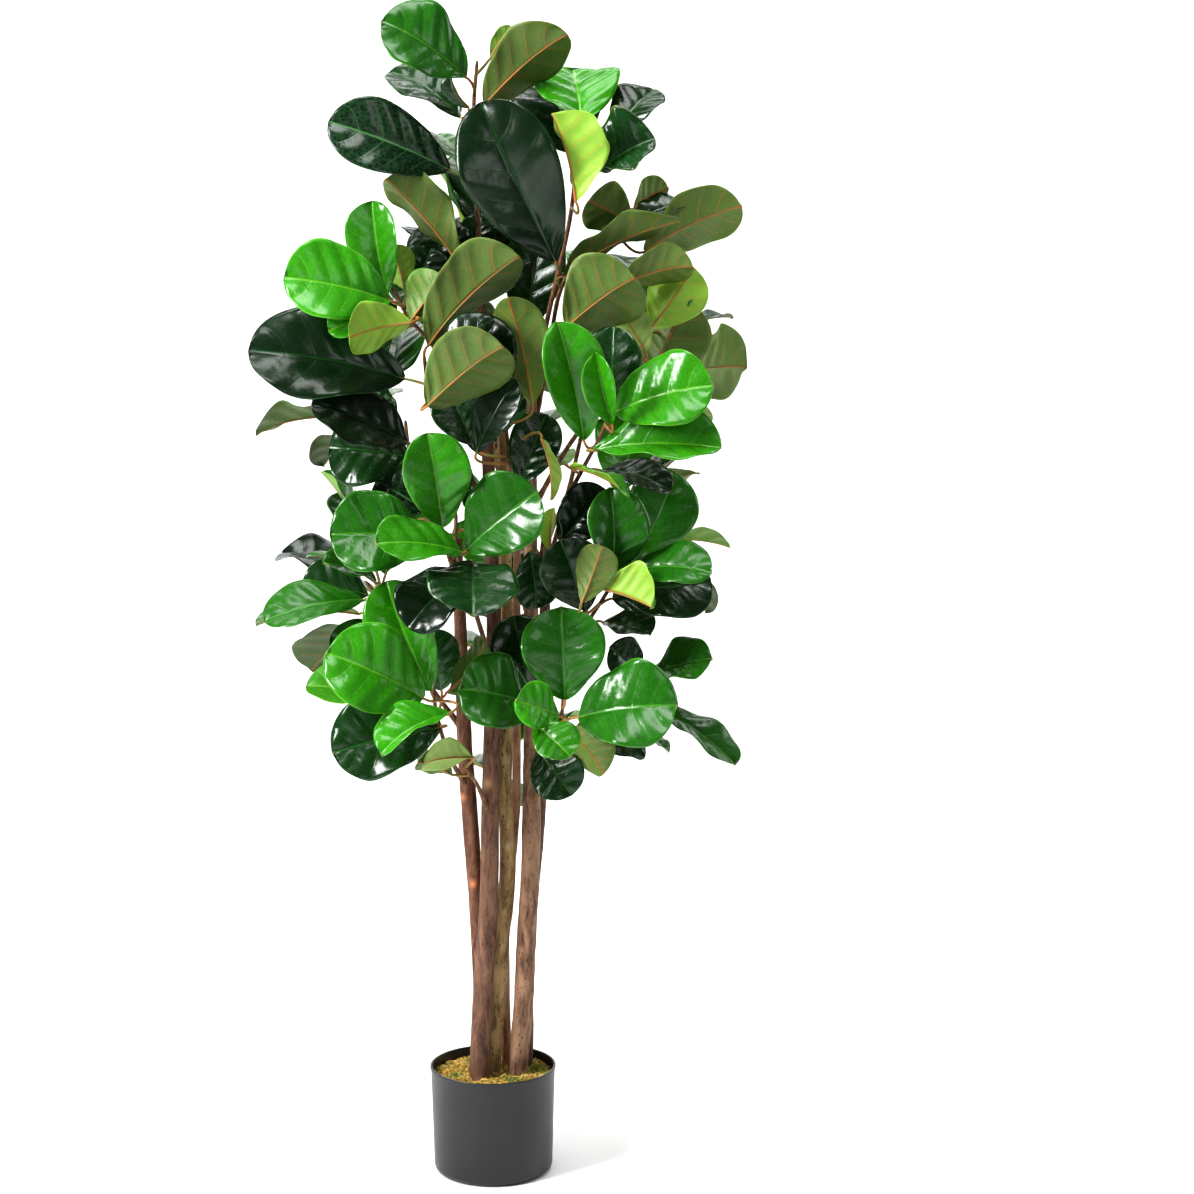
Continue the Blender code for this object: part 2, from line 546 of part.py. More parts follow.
def all_branches():
    """Every branch as (name, twig rows, leaves)."""
    branches = []
    for name, (pole, height, route, leaves) in BRANCHES.items():
        branches.append((name, pole, twig_rows(pole, height, route), leaves))
    for name, (pole, height, end, heading, count) in BACK_BRANCHES.items():
        start = on_pole(pole, height)
        middle = start.lerp(Vector(end), 0.5) - Vector((0, 0, 2))
        rows = twig_rows(pole, height, [middle, end])
        branches.append((name, pole, rows, back_leaves(name, end, heading, count)))
    return branches


def make_branch(name, rows, leaves, parts, material):
    """A twig and its leaves, grown together as one solid."""
    branch = add_object(name, tube_mesh(name, rows, TWIG_ROUNDNESS), parts, material)
    joined = bpy.data.collections.new(name + "_leaves")
    bpy.data.collections["helpers"].children.link(joined)
    for index, leaf in enumerate(leaves):
        leaf_solid(f"{name}_leaf_{index}", leaf, leaf_root(leaf, rows, index), joined)
    boolean(branch, "Leaves", "UNION", joined)
    return branch


def main():
    for obj in list(bpy.data.objects):
        bpy.data.objects.remove(obj)
    parts = new_collection("potted_fiddle_leaf_fig")
    helpers = new_collection("helpers")
    helpers.hide_render = True

    plastic = finish_material("black_moulded_plastic", (0.035, 0.035, 0.037), 0.5)
    fill = finish_material("set_grey_fill", (0.3, 0.29, 0.27), 0.9)
    dry_moss = finish_material("dry_moss", (0.45, 0.31, 0.07), 0.95)
    foliage = finish_material("green_leaf", (0.05, 0.27, 0.02), 0.35)
    barks = {
        "pole_front_left": finish_material("smooth_brown_bark", (0.19, 0.1, 0.07), 0.7),
        "pole_middle": finish_material("mottled_tan_bark", (0.4, 0.28, 0.15), 0.85),
        "pole_right": finish_material("mottled_brown_bark", (0.27, 0.16, 0.1), 0.8),
        "pole_left": finish_material("brown_bark", (0.22, 0.11, 0.06), 0.75),
        "pole_thin": finish_material("pink_bark", (0.42, 0.24, 0.17), 0.75),
        "pole_back": finish_material("dark_bark", (0.1, 0.06, 0.04), 0.85),
    }

    pole_cutters = bpy.data.collections.new("pole_cutters")
    helpers.children.link(pole_cutters)
    socket_cutters = {name: bpy.data.collections.new(name + "_sockets") for name in POLES}
    for collection in socket_cutters.values():
        helpers.children.link(collection)

    make_pot(parts, plastic)
    make_fill(parts, fill, pole_cutters)
    make_moss(parts, dry_moss, pole_cutters)

    for name in POLES:
        rows = pole_rows(name)
        mesh = tube_mesh(name, rows, POLE_ROUNDNESS)
        smooth(mesh)
        pole = add_object(name, mesh, parts, barks[name])
        boolean(pole, "Sockets", "DIFFERENCE", socket_cutters[name])
        grown = [(row[0], row[1], row[2], row[3] + GAP / CM) for row in rows]
        grown[0] = (*grown[0][:2], grown[0][2] - GAP / CM, grown[0][3])
        as_helper(add_object(name + "_cutter", tube_mesh(name, grown, POLE_ROUNDNESS), pole_cutters))

    for name, pole, rows, leaves in all_branches():
        make_branch(name, rows, leaves, parts, foliage)
        socket = tube_mesh(name + "_socket", socket_rows(rows), TWIG_ROUNDNESS)
        as_helper(add_object(name + "_socket", socket, socket_cutters[pole]))


main()
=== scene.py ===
"""The looks of a potted fiddle leaf fig: a moulded pot, dry moss, natural bark poles and glossy leaves."""

import math
import random

import bmesh
import bpy
import numpy as np
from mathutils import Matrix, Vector, noise


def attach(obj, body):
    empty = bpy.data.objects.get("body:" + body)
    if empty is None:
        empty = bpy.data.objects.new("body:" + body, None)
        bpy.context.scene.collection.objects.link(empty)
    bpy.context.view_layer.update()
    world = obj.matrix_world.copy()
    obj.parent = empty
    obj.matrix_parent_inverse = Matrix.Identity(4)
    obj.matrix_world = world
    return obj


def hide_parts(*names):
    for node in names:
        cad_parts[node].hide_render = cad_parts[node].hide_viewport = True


CM = 0.01
MM = 0.001

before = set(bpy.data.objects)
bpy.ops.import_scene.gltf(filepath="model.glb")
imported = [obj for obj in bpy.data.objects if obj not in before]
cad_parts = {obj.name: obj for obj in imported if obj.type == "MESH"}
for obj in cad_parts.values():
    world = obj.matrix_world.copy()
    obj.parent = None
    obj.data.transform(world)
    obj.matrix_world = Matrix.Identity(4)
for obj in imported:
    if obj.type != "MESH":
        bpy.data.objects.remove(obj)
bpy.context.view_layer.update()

# Pot.
POT_HEIGHT = 0.169
POT_RIM_RADIUS = 0.0985
POT_FOOT_RADIUS = 0.0925
POT_FOOT_ROUND = 0.012
POT_WALL = 0.0022
POT_FLOOR = 0.003
POT_STEPS = 160
POT_WALL_ROWS = (0.13, 0.09, 0.05)
RIM_LIP = 0.0012
RIM_LIP_HEIGHT = 0.004
RIM_BEND = 0.002
RIM_INNER_ROUND = 0.0006
RIM_OUTER_ROUND = 0.0009
LIP_FOOT_ROUND = 0.0006
LIP_FILLET = 0.0008

# Moss.
MOSS_LOW = 0.1385
MOSS_TOP = 0.152
MOSS_RADIUS = 0.0935
MOSS_RINGS = 26
MOSS_STEPS = 96
MOSS_FACE = 0.15
MOSS_SWELL = 0.004
MOSS_LUMP = (0.003, 22 * MM)
MOSS_FINE = (0.0018, 6 * MM)
MOSS_RIM_SHARE = 0.96
STRAND_COUNT = 3600
STRAND_SEED = 5
STRAND_THICKNESS = 0.6 * MM
STRAND_CURL = 4.5 * MM
STRAND_WANDER = 10 * MM
STRAND_WANDER_SIZE = 9 * MM

# Poles: a smooth route through (x, y, z, radius) rows in centimetres, from the foot to the top.
POLES = {
    "pole_front_left": [
        (-2.4, -2.6, 3, 1.6), (-2.1, -2.6, 16, 1.6), (-1.6, -2.2, 28, 1.55), (-0.5, -2, 44, 1.45),
        (-0.2, -2, 59, 1.35), (0.1, -1.7, 70, 1.25), (0.5, -1.2, 86, 1.15), (0.2, -0.8, 100, 1.05),
        (-0.4, 0, 118, 0.9), (-1.2, 0.4, 140, 0.7),
    ],
    "pole_middle": [
        (-0.4, 0.9, 3, 1.2), (0, 0.9, 16, 1.2), (0.9, 0.9, 28, 1.2), (1.4, 0.8, 37, 1.25),
        (2.2, 0.8, 44, 1.3), (2.5, 0.8, 51, 1.25), (2.1, 0.9, 59, 1.1), (2.2, 1, 68, 1.05),
        (2.5, 1.4, 85, 1), (2.3, 2, 100, 0.9), (2, 2.6, 116, 0.7),
    ],
    "pole_right": [
        (3.4, -0.6, 3, 1.55), (3.9, -0.6, 16, 1.55), (4.9, -0.6, 28, 1.55), (5.3, -0.5, 38, 1.5),
        (5.9, -0.5, 47, 1.45), (6.2, -0.5, 59, 1.4), (6.3, -0.5, 75, 1.25), (6.2, -0.5, 95, 1.1),
        (6.3, -0.2, 112, 0.95), (6.6, 0.4, 128, 0.7),
    ],
    "pole_left": [
        (-2.7, 2.6, 3, 1.25), (-2.4, 2.3, 16, 1.25), (-1.9, 1.9, 28, 1.2), (-2.3, 1.5, 40, 1.2),
        (-2.8, 1.2, 48, 1.2), (-3.5, 0.8, 59, 1.25), (-4.1, 0.6, 68, 1.15), (-4.5, 0.6, 83, 1),
        (-5, 1, 100, 0.75),
    ],
    "pole_thin": [
        (2.4, 4.2, 3, 0.75), (2.2, 4.1, 16, 0.75), (2, 3.9, 28, 0.75), (2, 3.7, 40, 0.75),
        (2.8, 3.5, 47, 0.72), (3.4, 3.2, 52, 0.7), (3.9, 3, 60, 0.68), (4, 3.2, 75, 0.65),
        (4.1, 3.6, 92, 0.6), (4.4, 4.2, 108, 0.55),
    ],
    "pole_back": [
        (4.9, 3.2, 3, 1.1), (5.2, 3, 16, 1.1), (5.4, 2.9, 28, 1.1), (6.1, 2.8, 42, 1.1),
        (6.9, 2.7, 51, 1.1), (7.5, 2.6, 59, 1.1), (7.9, 2.7, 68, 1), (8.3, 3, 82, 0.9),
        (8.6, 3.6, 98, 0.7),
    ],
}

POLE_SPACING = 0.45
POLE_SIDES = 40
POLE_OFFSET = 10.0
SOCKET_SPACING = 7.5

# Twigs.
TWIG_RADIUS = 0.42
TWIG_TIP_RADIUS = 0.27
TWIG_SPACING = 1.1
TWIG_SIDES = 10
TWIG_LUMP = 0.12
TWIG_LUMP_SCALE = 0.9
TWIG_CAP = 0.5
COLLAR_RADIUS = 0.62
COLLAR_REACH = 3.6

# Leaves, in centimetres. A pair of numbers is a range that each leaf draws from.
LEAF_ROWS = 34
LEAF_COLUMNS = 18
LEAF_THICKNESS = 0.09
LEAF_EDGE = 0.035
STALK_ROWS = 9
STALK_SIDES = 7
STALK_RADIUS = 0.2
MIDRIB_TIP_RADIUS = 0.03
PETIOLE_WIDTH = 0.45
PETIOLE_DROP = 2.0
STALK_STEP = 0.35
STALK_SWELL = 0.25
STALK_LEAD = 0.4
STALK_BELOW = 0.12
MIDRIB_SINKS = 0.07
MIDRIB_GROOVE = 0.16
MIDRIB_GROOVE_WIDTH = 0.45
WIDEST_AT = 0.65
BLADE_FULLNESS = 1.07
USUAL_ARCH = 0.07
USUAL_CUP = 14
VEIN_PAIRS = 5.2
VEIN_SLOPE = 0.2
VEIN_BEND = 1.15
COLUMN_SPREAD = 1.15
ROUNDNESS = (0.36, 0.46)
MARGIN_WAVE = (0.03, 0.065)
WAVE_TURNS = (1.3, 2.3)
TIP_DROOP = (-0.02, 0.06)
PUCKER = (0.022, 0.038)
TWIST = (-0.22, 0.22)
SHADE = (0.75, 1.2)
UPPER_FINISH, UNDER_FINISH, STALK_FINISH, TWIG_FINISH = range(4)
PAINTS = ("leaf_top", "leaf_top_vein", "leaf_under", "leaf_under_vein", "leaf_rim")
NO_PAINT = (0.1, 0.1, 0.1, 1)

# Each branch: its pole and the height of its socket, the twig's route beyond it, and its leaves.
# A leaf is (foot of the blade, tip, the way its upper face looks, width[, arch[, cup]]), in centimetres
# and degrees.
BRANCHES = {
    "branch_crown": ("pole_front_left", 132,
        [(-1.4, -0.5, 146), (-2, -1, 157), (-2, -2, 165), (-1.5, -2, 171)], [
        ((-3, -4, 169), (-15, -8, 177), (0.3, -1, 0.5), 11.5),
        ((-4, 0, 163.5), (-14.5, 4, 170.5), (0.4, -0.8, 0.7), 9.5),
        ((-5.5, -3, 155.5), (-23, -8, 162.5), (0.1, -1, 0.3), 10.5),
        ((-3, -5, 164.5), (-5.5, -6, 169.5), (-1, -0.5, 0.3), 3.5, 0.1, 35),
        ((-0.5, -4, 165), (11.5, -5, 175.5), (-0.5, 1, 0.3), 10),
        ((0.5, -2, 172), (3.5, -1, 176.5), (-0.5, 1, 0.2), 2.5),
        ((1, 3, 153), (4, 14, 161), (0, -0.3, 1), 9),
        ((-3, 3, 156), (-8, 14, 161), (0, 0.2, 1), 10),
    ]),
    "branch_high_right": ("pole_right", 122,
        [(9, 0, 134), (12, -1, 147), (13, -2, 155), (13.5, -2, 163)], [
        ((10, -5, 142), (-1, -10, 165), (-0.2, -1, 0.3), 14),
        ((14, -4, 162), (13, 5, 170.5), (0, -1, 0.9), 12.5),
        ((19, -2, 161), (25, 2, 167.5), (-0.4, -0.9, 0.6), 8),
        ((13, -9.5, 151), (9.5, -11, 163.5), (0.8, 0.6, 0), 12, 0.05, 38),
        ((16.5, -6, 155.5), (24.5, -8, 160), (-0.2, -1, 0.7), 12, 0.08, 30),
        ((12.5, 4, 158), (9.5, 11, 170.5), (0, -1, 0.5), 14),
        ((15, 3, 155), (20, 15, 159), (0, 0.2, 1), 10),
    ]),
    "branch_right_upper": ("pole_right", 114, [(9, 1, 128), (11, 1, 138), (15, 1, 143), (20, 1, 147)], [
        ((22, 4, 150), (27.5, 8, 153), (0, 1, 0.6), 5.5),
        ((21.5, -1.3, 147.5), (15, -3, 151), (0, 1, 0.3), 8),
        ((22, 2, 148), (31, 7, 150.5), (0, -0.5, 1), 7),
        ((11, -3, 140), (28.5, -7, 148), (-0.3, 0.6, 1), 9),
        ((23.5, 0, 143.5), (38, 2, 150.5), (-0.3, 1, 0.4), 9.5),
        ((19.5, -3, 138.5), (30.5, -3, 141.5), (0, 0.8, 0.8), 8),
        ((11.5, -7, 132.5), (21.5, -9, 140), (-0.3, 1, 0.2), 13),
    ]),
    "branch_right": ("pole_right", 104, [(12, 1, 114), (18, 0, 122), (22, 0, 128), (23.5, 0, 132)], [
        ((24.5, 2, 132), (27.5, 4, 140), (0, -1, 0.3), 9),
        ((24.5, -1, 132), (31, 0, 141), (0.3, 1, 0.2), 9),
        ((23.5, -3, 128.5), (20, -2, 134.5), (0, 1, 0.2), 6),
        ((24, 3, 123), (30, 4, 136), (0.2, 1, 0), 12),
        ((31, 6, 125), (40, 12, 125.5), (0.2, 1, 0.3), 12),
        ((30, 10, 131.5), (38, 15, 133), (0, 0, 1), 5),
    ]),
    "branch_right_middle": ("pole_right", 92,
        [(10, -2, 103), (14, -4, 111), (17, -6, 117), (18, -7, 121)], [
        ((14, -10, 116), (10, -14, 133.5), (0.2, -1, 0.2), 10, 0.07, 25),
        ((18, -13, 118.5), (15.5, -16, 129), (-0.3, -1, 0.2), 6.5, 0.07, 45),
        ((18.5, -6, 119), (18.5, -7, 132.5), (-0.3, -1, 0), 9.5),
        ((18.5, -9, 120), (32.5, -15, 124.5), (0, -1, 0.6), 12),
        ((15.5, -10, 114.5), (34, -15, 115), (0, -0.8, 0.8), 10, 0.07, 30),
        ((22, -2, 115.5), (34, 5, 117.5), (0, 0.5, 1), 8),
        ((17, -5, 111), (27, -9, 108.5), (0, -0.5, 1), 7),
        ((12, -9, 112), (20.5, -13, 108), (0.4, 0, 1), 6),
    ]),
    "branch_right_lower": ("pole_right", 72, [(11, -2, 81), (15, -4, 88), (18, -5, 93), (20, -5, 97)], [
        ((21.5, -6, 96), (28, -4, 110.5), (0.2, -1, 0.2), 10.5),
        ((18, -11, 95), (18, -12, 109), (0.4, -1, 0.1), 10, 0.07, 25),
        ((18.5, -5, 91.5), (33.5, -5, 94), (0, -1, 0.6), 12),
        ((21, -10, 96.5), (32.5, -16, 97), (0, -0.8, 1), 8.5),
        ((16, -14, 94.5), (23.5, -18, 92), (0, 1, 1), 10, 0.05, 45),
        ((14.5, -7, 90), (10.5, -9, 101), (0, -1, 0.1), 9.5),
        ((13.5, -15.5, 92.5), (16.5, -16.5, 101), (0.3, 1, 0), 6),
        ((12.5, -3, 100), (16.5, -4, 107.5), (-0.5, 1, 0), 4.5),
        ((17, -5, 88), (24, -10, 86.5), (0, -0.5, 1), 7.5),
    ]),
    "branch_left_upper": ("pole_front_left", 112,
        [(-4, -1, 121), (-8, -3, 129), (-12, -5, 134), (-14, -5, 138)], [
        ((-14.5, -9, 136.5), (-29.5, -15, 140), (0.1, -1, 0.5), 12.5),
        ((-15, -5, 137), (-17, -6, 151), (-0.3, -1, 0.1), 9, 0.07, 30),
        ((-11.5, -8.5, 133.5), (-6.5, -9, 140), (0.2, 1, 0.3), 8),
        ((-11.5, -13, 133.5), (-20, -18, 131.5), (0, 1, 0.4), 8),
        ((-15.5, -10, 134.5), (-23, -15, 132.5), (0, -1, 0.6), 5.5),
        ((-12.5, -3, 138), (-14, -3, 144.5), (0, 1, 0), 5),
        ((-11, 0, 137.5), (-8.5, 1, 144), (0, -1, 0.2), 7),
    ]),
    "branch_left": ("pole_front_left", 104,
        [(-4, -3, 112), (-7, -6, 119), (-9, -8, 124), (-9.5, -9, 128)], [
        ((-12.5, -8, 125), (-35, -12, 129.5), (0.1, -1, 0.5), 14),
        ((-9, -14.5, 121.5), (2, -17.5, 130.5), (0, 1, 0.5), 12),
        ((-9, -10, 130), (4.5, -11, 143), (-0.6, 1, 0.5), 12, 0.08, 25),
        ((-8, -12, 127), (0.5, -13.5, 134), (-0.6, -0.6, 0.6), 6.5, 0.05, 30),
    ]),
    "branch_inner_top": ("pole_front_left", 124, [(-2, 2, 131), (-3, 3, 139), (-3, 3, 144)], [
        ((-4.5, -5, 142), (-15, -8, 154), (0.4, 1, 0.6), 9, 0.07, 35),
        ((-5.5, 2, 138), (-8.5, 3, 148), (0, -1, 0.3), 9.5),
        ((-1.5, 4, 142), (-1.5, 5, 149), (0, -1, 0), 5.5),
        ((5.5, 5, 131), (8, 5, 147), (0, -1, 0.1), 9),
        ((0, 5, 137), (5, 7, 148.5), (0, -1, 0.2), 9),
        ((-6, 4.5, 133), (-13.5, 7, 141.5), (0, -1, 0.3), 9.5),
    ]),
    "branch_middle": ("pole_middle", 98, [(3, -2, 104), (3, -5, 111), (2.5, -6, 118)], [
        ((6.5, -8, 121), (3, -9, 137), (0.3, 1, 0.1), 8),
        ((-2.5, -6, 115), (-6, -7, 124), (0, -1, 0.2), 8),
        ((-2, -8, 114), (4, -10, 125), (-0.4, -1, 0.4), 7),
        ((8, -9, 116), (9, -10, 107), (1, 0.2, 0), 6),
        ((2, -5.5, 109.5), (-1, -7.5, 98.5), (0.2, -1, 0.3), 8),
        ((4.5, -5.5, 109), (8.5, -6, 119.5), (0, -1, 0.2), 7.5),
        ((2, -7.5, 122), (-1.5, -8, 134), (0, -1, 0.2), 8),
    ]),
    "branch_inner_low": ("pole_right", 86, [(6.5, -4, 91), (7.5, -5.5, 97), (8, -6, 101)], [
        ((6, -7, 99), (7, -8, 90.5), (0.2, -1, 0), 6.5),
        ((9, -6, 99), (9.5, -7, 105.5), (-1, 0.8, 0), 4),
        ((10.5, -5, 100), (17.5, -5, 108), (0, -1, 0.3), 8),
    ]),
    "branch_left_middle": ("pole_left", 92,
        [(-7, -1, 100), (-10, -3, 108), (-12, -4, 114), (-12.5, -4, 118)], [
        ((-12, -8, 115.5), (-26, -13, 121.5), (0, -1, 0.8), 11),
        ((-12, -4, 113), (-24, -4, 114.5), (0, -1, 0.3), 11.5),
        ((-14, 1, 117), (-21.5, 5, 122), (0, -0.6, 1), 8),
        ((-9.5, -5, 105), (-17, -5, 109.5), (0, -1, 0.3), 9),
        ((-8.5, -4, 104), (-5, -4.5, 113.5), (0, -1, 0.2), 7.5),
        ((-11, 0, 103), (-19, 3, 98), (0, -1, 0.4), 8.5),
    ]),
    "branch_front": ("pole_front_left", 80,
        [(-1.5, -5, 87), (-3.5, -8, 94), (-5, -10, 99.5), (-5, -11, 105)], [
        ((-7, -13, 103.5), (-9, -15, 117.5), (0.2, -1, 0.1), 10, 0.07, 20),
        ((-9, -10, 101.5), (-23.5, -13, 102.5), (0, -1, 0.4), 12.5),
        ((-4, -15, 100), (-16.5, -21, 102), (0, -0.8, 1), 9),
        ((-3.5, -13, 100), (7, -16, 109), (-0.2, -1, 0.4), 12),
        ((-2.5, -13, 98), (-2.5, -24, 92), (0, -0.6, 1), 13),
        ((-3.5, -12, 96.5), (-12, -18, 89.5), (-0.2, -0.8, 0.8), 10),
        ((-2, -10, 104.5), (-2, -11, 109), (0, -1, 0.3), 4),
    ]),
    "branch_left_lower": ("pole_left", 76,
        [(-9, -1, 83), (-14, -3, 89), (-17, -4, 92), (-18.5, -5, 94)], [
        ((-19, -8, 92), (-33.5, -12, 89.5), (0, -0.7, 1), 9),
        ((-18.5, -3, 92), (-28.5, -2, 93.5), (0, -1, 0.5), 8.5),
        ((-17, -7, 94.5), (-24.5, -12, 98), (0, -0.5, 1), 6.5),
        ((-19, 0, 95), (-28, 4, 97), (0, 0, 1), 5),
    ]),
    "branch_left_low": ("pole_left", 61,
        [(-6, -3, 66), (-7.5, -6, 71), (-8.5, -8, 76.5), (-8.5, -9, 81)], [
        ((-9, -11, 78.5), (-15.5, -11, 95), (-0.2, -1, 0.1), 11, 0.07, 30),
        ((-10, -14, 78), (-23.5, -20, 86), (0.1, -1, 0.5), 13),
        ((-13, -6, 81), (-24, -9, 86.5), (0, -1, 0.5), 8),
        ((-13, -5, 75.5), (-28, -4, 78), (0, -0.6, 1), 8),
        ((-7.5, -11, 73), (-23.5, -15, 70), (0, -1, 0.6), 12),
        ((-6, -17.5, 76.5), (-16, -23.5, 72), (-0.3, -0.6, 1), 9, 0.07, 30),
        ((-6.5, -10, 78), (-0.5, -12.5, 86), (0.8, 0.2, 0.4), 8),
        ((-7.5, -5, 77.5), (-9, -6, 87), (0, -1, 0.2), 7.5),
    ]),
    "branch_front_low": ("pole_right", 58,
        [(8, -5, 64), (9.5, -8, 69), (10.5, -10, 73.5), (11, -10, 79)], [
        ((7, -12.5, 76.5), (-4.5, -17, 80), (0, -1, 0.6), 11.5),
        ((10, -18, 76), (3.5, -22, 79), (0, -1, 0.5), 7),
        ((6.5, -20, 75), (11.5, -24, 71), (0.2, -1, 0.6), 7),
        ((11, -13, 77.5), (10.5, -14, 91.5), (0, -1, 0.2), 12.5, 0.07, 20),
        ((6, -9, 77), (3.5, -10, 89.5), (0, -1, 0.1), 8.5),
        ((13, -14, 75), (27, -20, 78), (0, -1, 0.6), 13),
        ((11, -14, 73), (17, -16, 67), (0, 1, 0.8), 8),
        ((7, -9, 69), (12, -13, 63), (-0.2, -1, 0.5), 8),
        ((14, -9, 71.5), (23, -12, 68.5), (0, -0.5, 1), 6.5),
    ]),
    "branch_right_low": ("pole_back", 64, [(13, 1, 70), (18, 0, 76), (22, -2, 80)], [
        ((22.5, -6, 80), (18, -8, 84.5), (0, -1, 0.6), 6.5),
        ((24, -4, 79), (33.5, -7, 82.5), (0, -0.6, 1), 9),
        ((25, -2, 74), (37, -8, 66), (0.2, -0.3, 1), 8),
        ((21, 1, 70), (27.5, -1, 67), (0, 0, 1), 4.5),
    ]),
    "branch_knee": ("pole_front_left", 57, [(-2, -5, 62.5), (-4, -7, 66)], [
        ((-3, -9, 68), (-10, -13, 68), (0, 1, 0.5), 7),
        ((-6, -7, 65), (-11, -9, 67.5), (0, 1, 0.6), 5),
    ]),
}

BACK_BRANCHES = {
    "branch_back_high": ("pole_middle", 112, (-2, 11, 142), -10, 7),
    "branch_back_upper_right": ("pole_back", 94, (17, 10, 127.8), 30, 7),
    "branch_back_upper_left": ("pole_left", 96, (-16, 10, 121), -45, 7),
    "branch_back_middle": ("pole_thin", 104, (1, 15, 110), 0, 7),
    "branch_back_right": ("pole_back", 76, (19.5, 8, 100), 58, 7),
    "branch_back_left": ("pole_left", 70, (-17, 8, 91), -45, 7),
    "branch_back_lower": ("pole_thin", 74, (3, 15, 84), -8, 7),
    "branch_back_low": ("pole_middle", 62, (1, 10, 65), 10, 5),
}

BACK_SPREAD = 65
BACK_LEAF_LENGTH = 15
BACK_LEAF_WIDTH = 10.5
BACK_PETIOLE = 3.5
BACK_JITTER = 8
BACK_LOWEST, BACK_RISE = -25, 80
BACK_STACK = 7
BACK_TWIG_SAG = 2
GOLDEN = 0.618

# How old each leaf looks, in the order of its branch's list.
AGES = {
    "branch_crown": "green dark veined dark old fresh green green",
    "branch_high_right": "deep fresh dark young old deep green",
    "branch_right_upper": "pale old dark old old old old",
    "branch_right": "green young pale old pale old",
    "branch_right_middle": "fresh fresh dark fresh fresh pale deep young",
    "branch_right_lower": "green green dark green young dark old young dark",
    "branch_left_upper": "fresh fresh green young fresh young dark",
    "branch_left": "deep old old deep",
    "branch_inner_top": "old deep dark dark deep dark",
    "branch_middle": "old dark deep old deep dark deep",
    "branch_inner_low": "dark young deep",
    "branch_left_middle": "deep dark dark veined deep dark",
    "branch_front": "fresh green fresh green dark deep dark",
    "branch_left_lower": "green dark green green",
    "branch_left_low": "fresh fresh green young dark fresh green old",
    "branch_front_low": "green fresh fresh green dark green old dark dark",
    "branch_right_low": "dark green green green",
    "branch_knee": "pale old",
}
BACK_AGES = "dark green fresh deep green old fresh".split()
# Upper face, its veins, underside, its veins, and the margin.
LEAF_COLOURS = {
    "fresh": ("#2a7a0a", "#62a42c", "#55862a", "#b08c40", "#5fa82c"),
    "green": ("#1b560c", "#427e26", "#456c26", "#a57434", "#458426"),
    "dark": ("#0c2b0c", "#235020", "#3a5a26", "#985a2a", "#285820"),
    "deep": ("#061a08", "#163a18", "#2f4c22", "#8c5026", "#1a3e18"),
    "veined": ("#06200f", "#4c7c48", "#37522a", "#94562a", "#284c24"),
    "old": ("#103a14", "#3c6c30", "#4c6c2a", "#a86430", "#7c8a34"),
    "pale": ("#2a6c1e", "#5c8c40", "#6f9246", "#ae6e36", "#8cac4e"),
    "young": ("#3c8a1a", "#76b440", "#7fb036", "#c88a3c", "#a4cc44"),
}
BARK_ROUGHNESS = (0.9, 0.65)

# Studio, in metres, degrees and watts. A light is its name, place, target, size and power.
LIGHTS = [
    ("key", (-2.4, -1.6, 2.5), (0, 0, 1.0), (0.8, 1.7), 165),
    ("front_fill", (1.6, -3.6, 1.8), (0, 0, 0.9), (1.2, 1.6), 14),
    ("top", (-0.2, -0.9, 3.9), (0, 0, 1.0), (1.6, 1.6), 60),
    ("backdrop", (0, 1.4, 4.4), (0, 4.0, 1.6), (4, 1.5), 150),
    ("right_edge", (2.6, 0.6, 1.6), (0, 0, 1.0), (1.0, 2.4), 26),
]
WORLD_LIGHT = 0.16
PAPER = 0.95
FLOOR_FRONT, FLOOR_HALF = -6, 8
SWEEP_START, SWEEP_RADIUS, WALL_TOP = 2.6, 1.4, 6
CAMERA_PLACE = (0, -4, 1.5)
CAMERA_DOWN, CAMERA_RIGHT = 8.39, 2.34
CAMERA_LENS, CAMERA_SENSOR, CAMERA_REACH = 79.6, 36, 60


def linear(code):
    """An sRGB hex value as linear red, green, blue and alpha."""
    parts = [int(code[i:i + 2], 16) / 255 for i in (1, 3, 5)]
    return (*(c / 12.92 if c <= 0.04045 else ((c + 0.055) / 1.055) ** 2.4 for c in parts), 1.0)


def add(tree, kind, inputs=None, **settings):
    """Adds a node; an input that is another node's socket is linked, and any other is set."""
    made = tree.nodes.new(kind)
    for key, value in settings.items():
        setattr(made, key, value)
    for key, value in (inputs or {}).items():
        if isinstance(value, bpy.types.NodeSocket):
            tree.links.new(value, made.inputs[key])
        else:
            made.inputs[key].default_value = value
    return made


def ramp(tree, factor, *stops):
    """A colour ramp from (place, hex value) stops."""
    made = add(tree, "ShaderNodeValToRGB", {0: factor})
    while len(made.color_ramp.elements) < len(stops):
        made.color_ramp.elements.new(0.5)
    for element, (place, colour) in zip(made.color_ramp.elements, stops):
        element.position = place
        element.color = linear(colour)
    return made.outputs["Color"]


def blend(tree, factor, first, second, mode="MIX"):
    """Two colours mixed by a factor."""
    made = add(tree, "ShaderNodeMix", {0: factor, 6: first, 7: second}, data_type="RGBA", blend_type=mode)
    return made.outputs[2]


def step(tree, value, low, high):
    """0 below low and 1 above high, or the other way round if low is the larger."""
    made = add(tree, "ShaderNodeMapRange", {0: value, 1: low, 2: high}, interpolation_type="SMOOTHSTEP")
    return made.outputs[0]


def between(tree, value, low, high):
    """A 0 to 1 value spread from low to high."""
    return add(tree, "ShaderNodeMapRange", {0: value, 3: low, 4: high}).outputs[0]


def maths(tree, operation, *values):
    """One sum, product or other operation on values or sockets."""
    made = add(tree, "ShaderNodeMath", dict(enumerate(values)), operation=operation)
    return made.outputs[0]


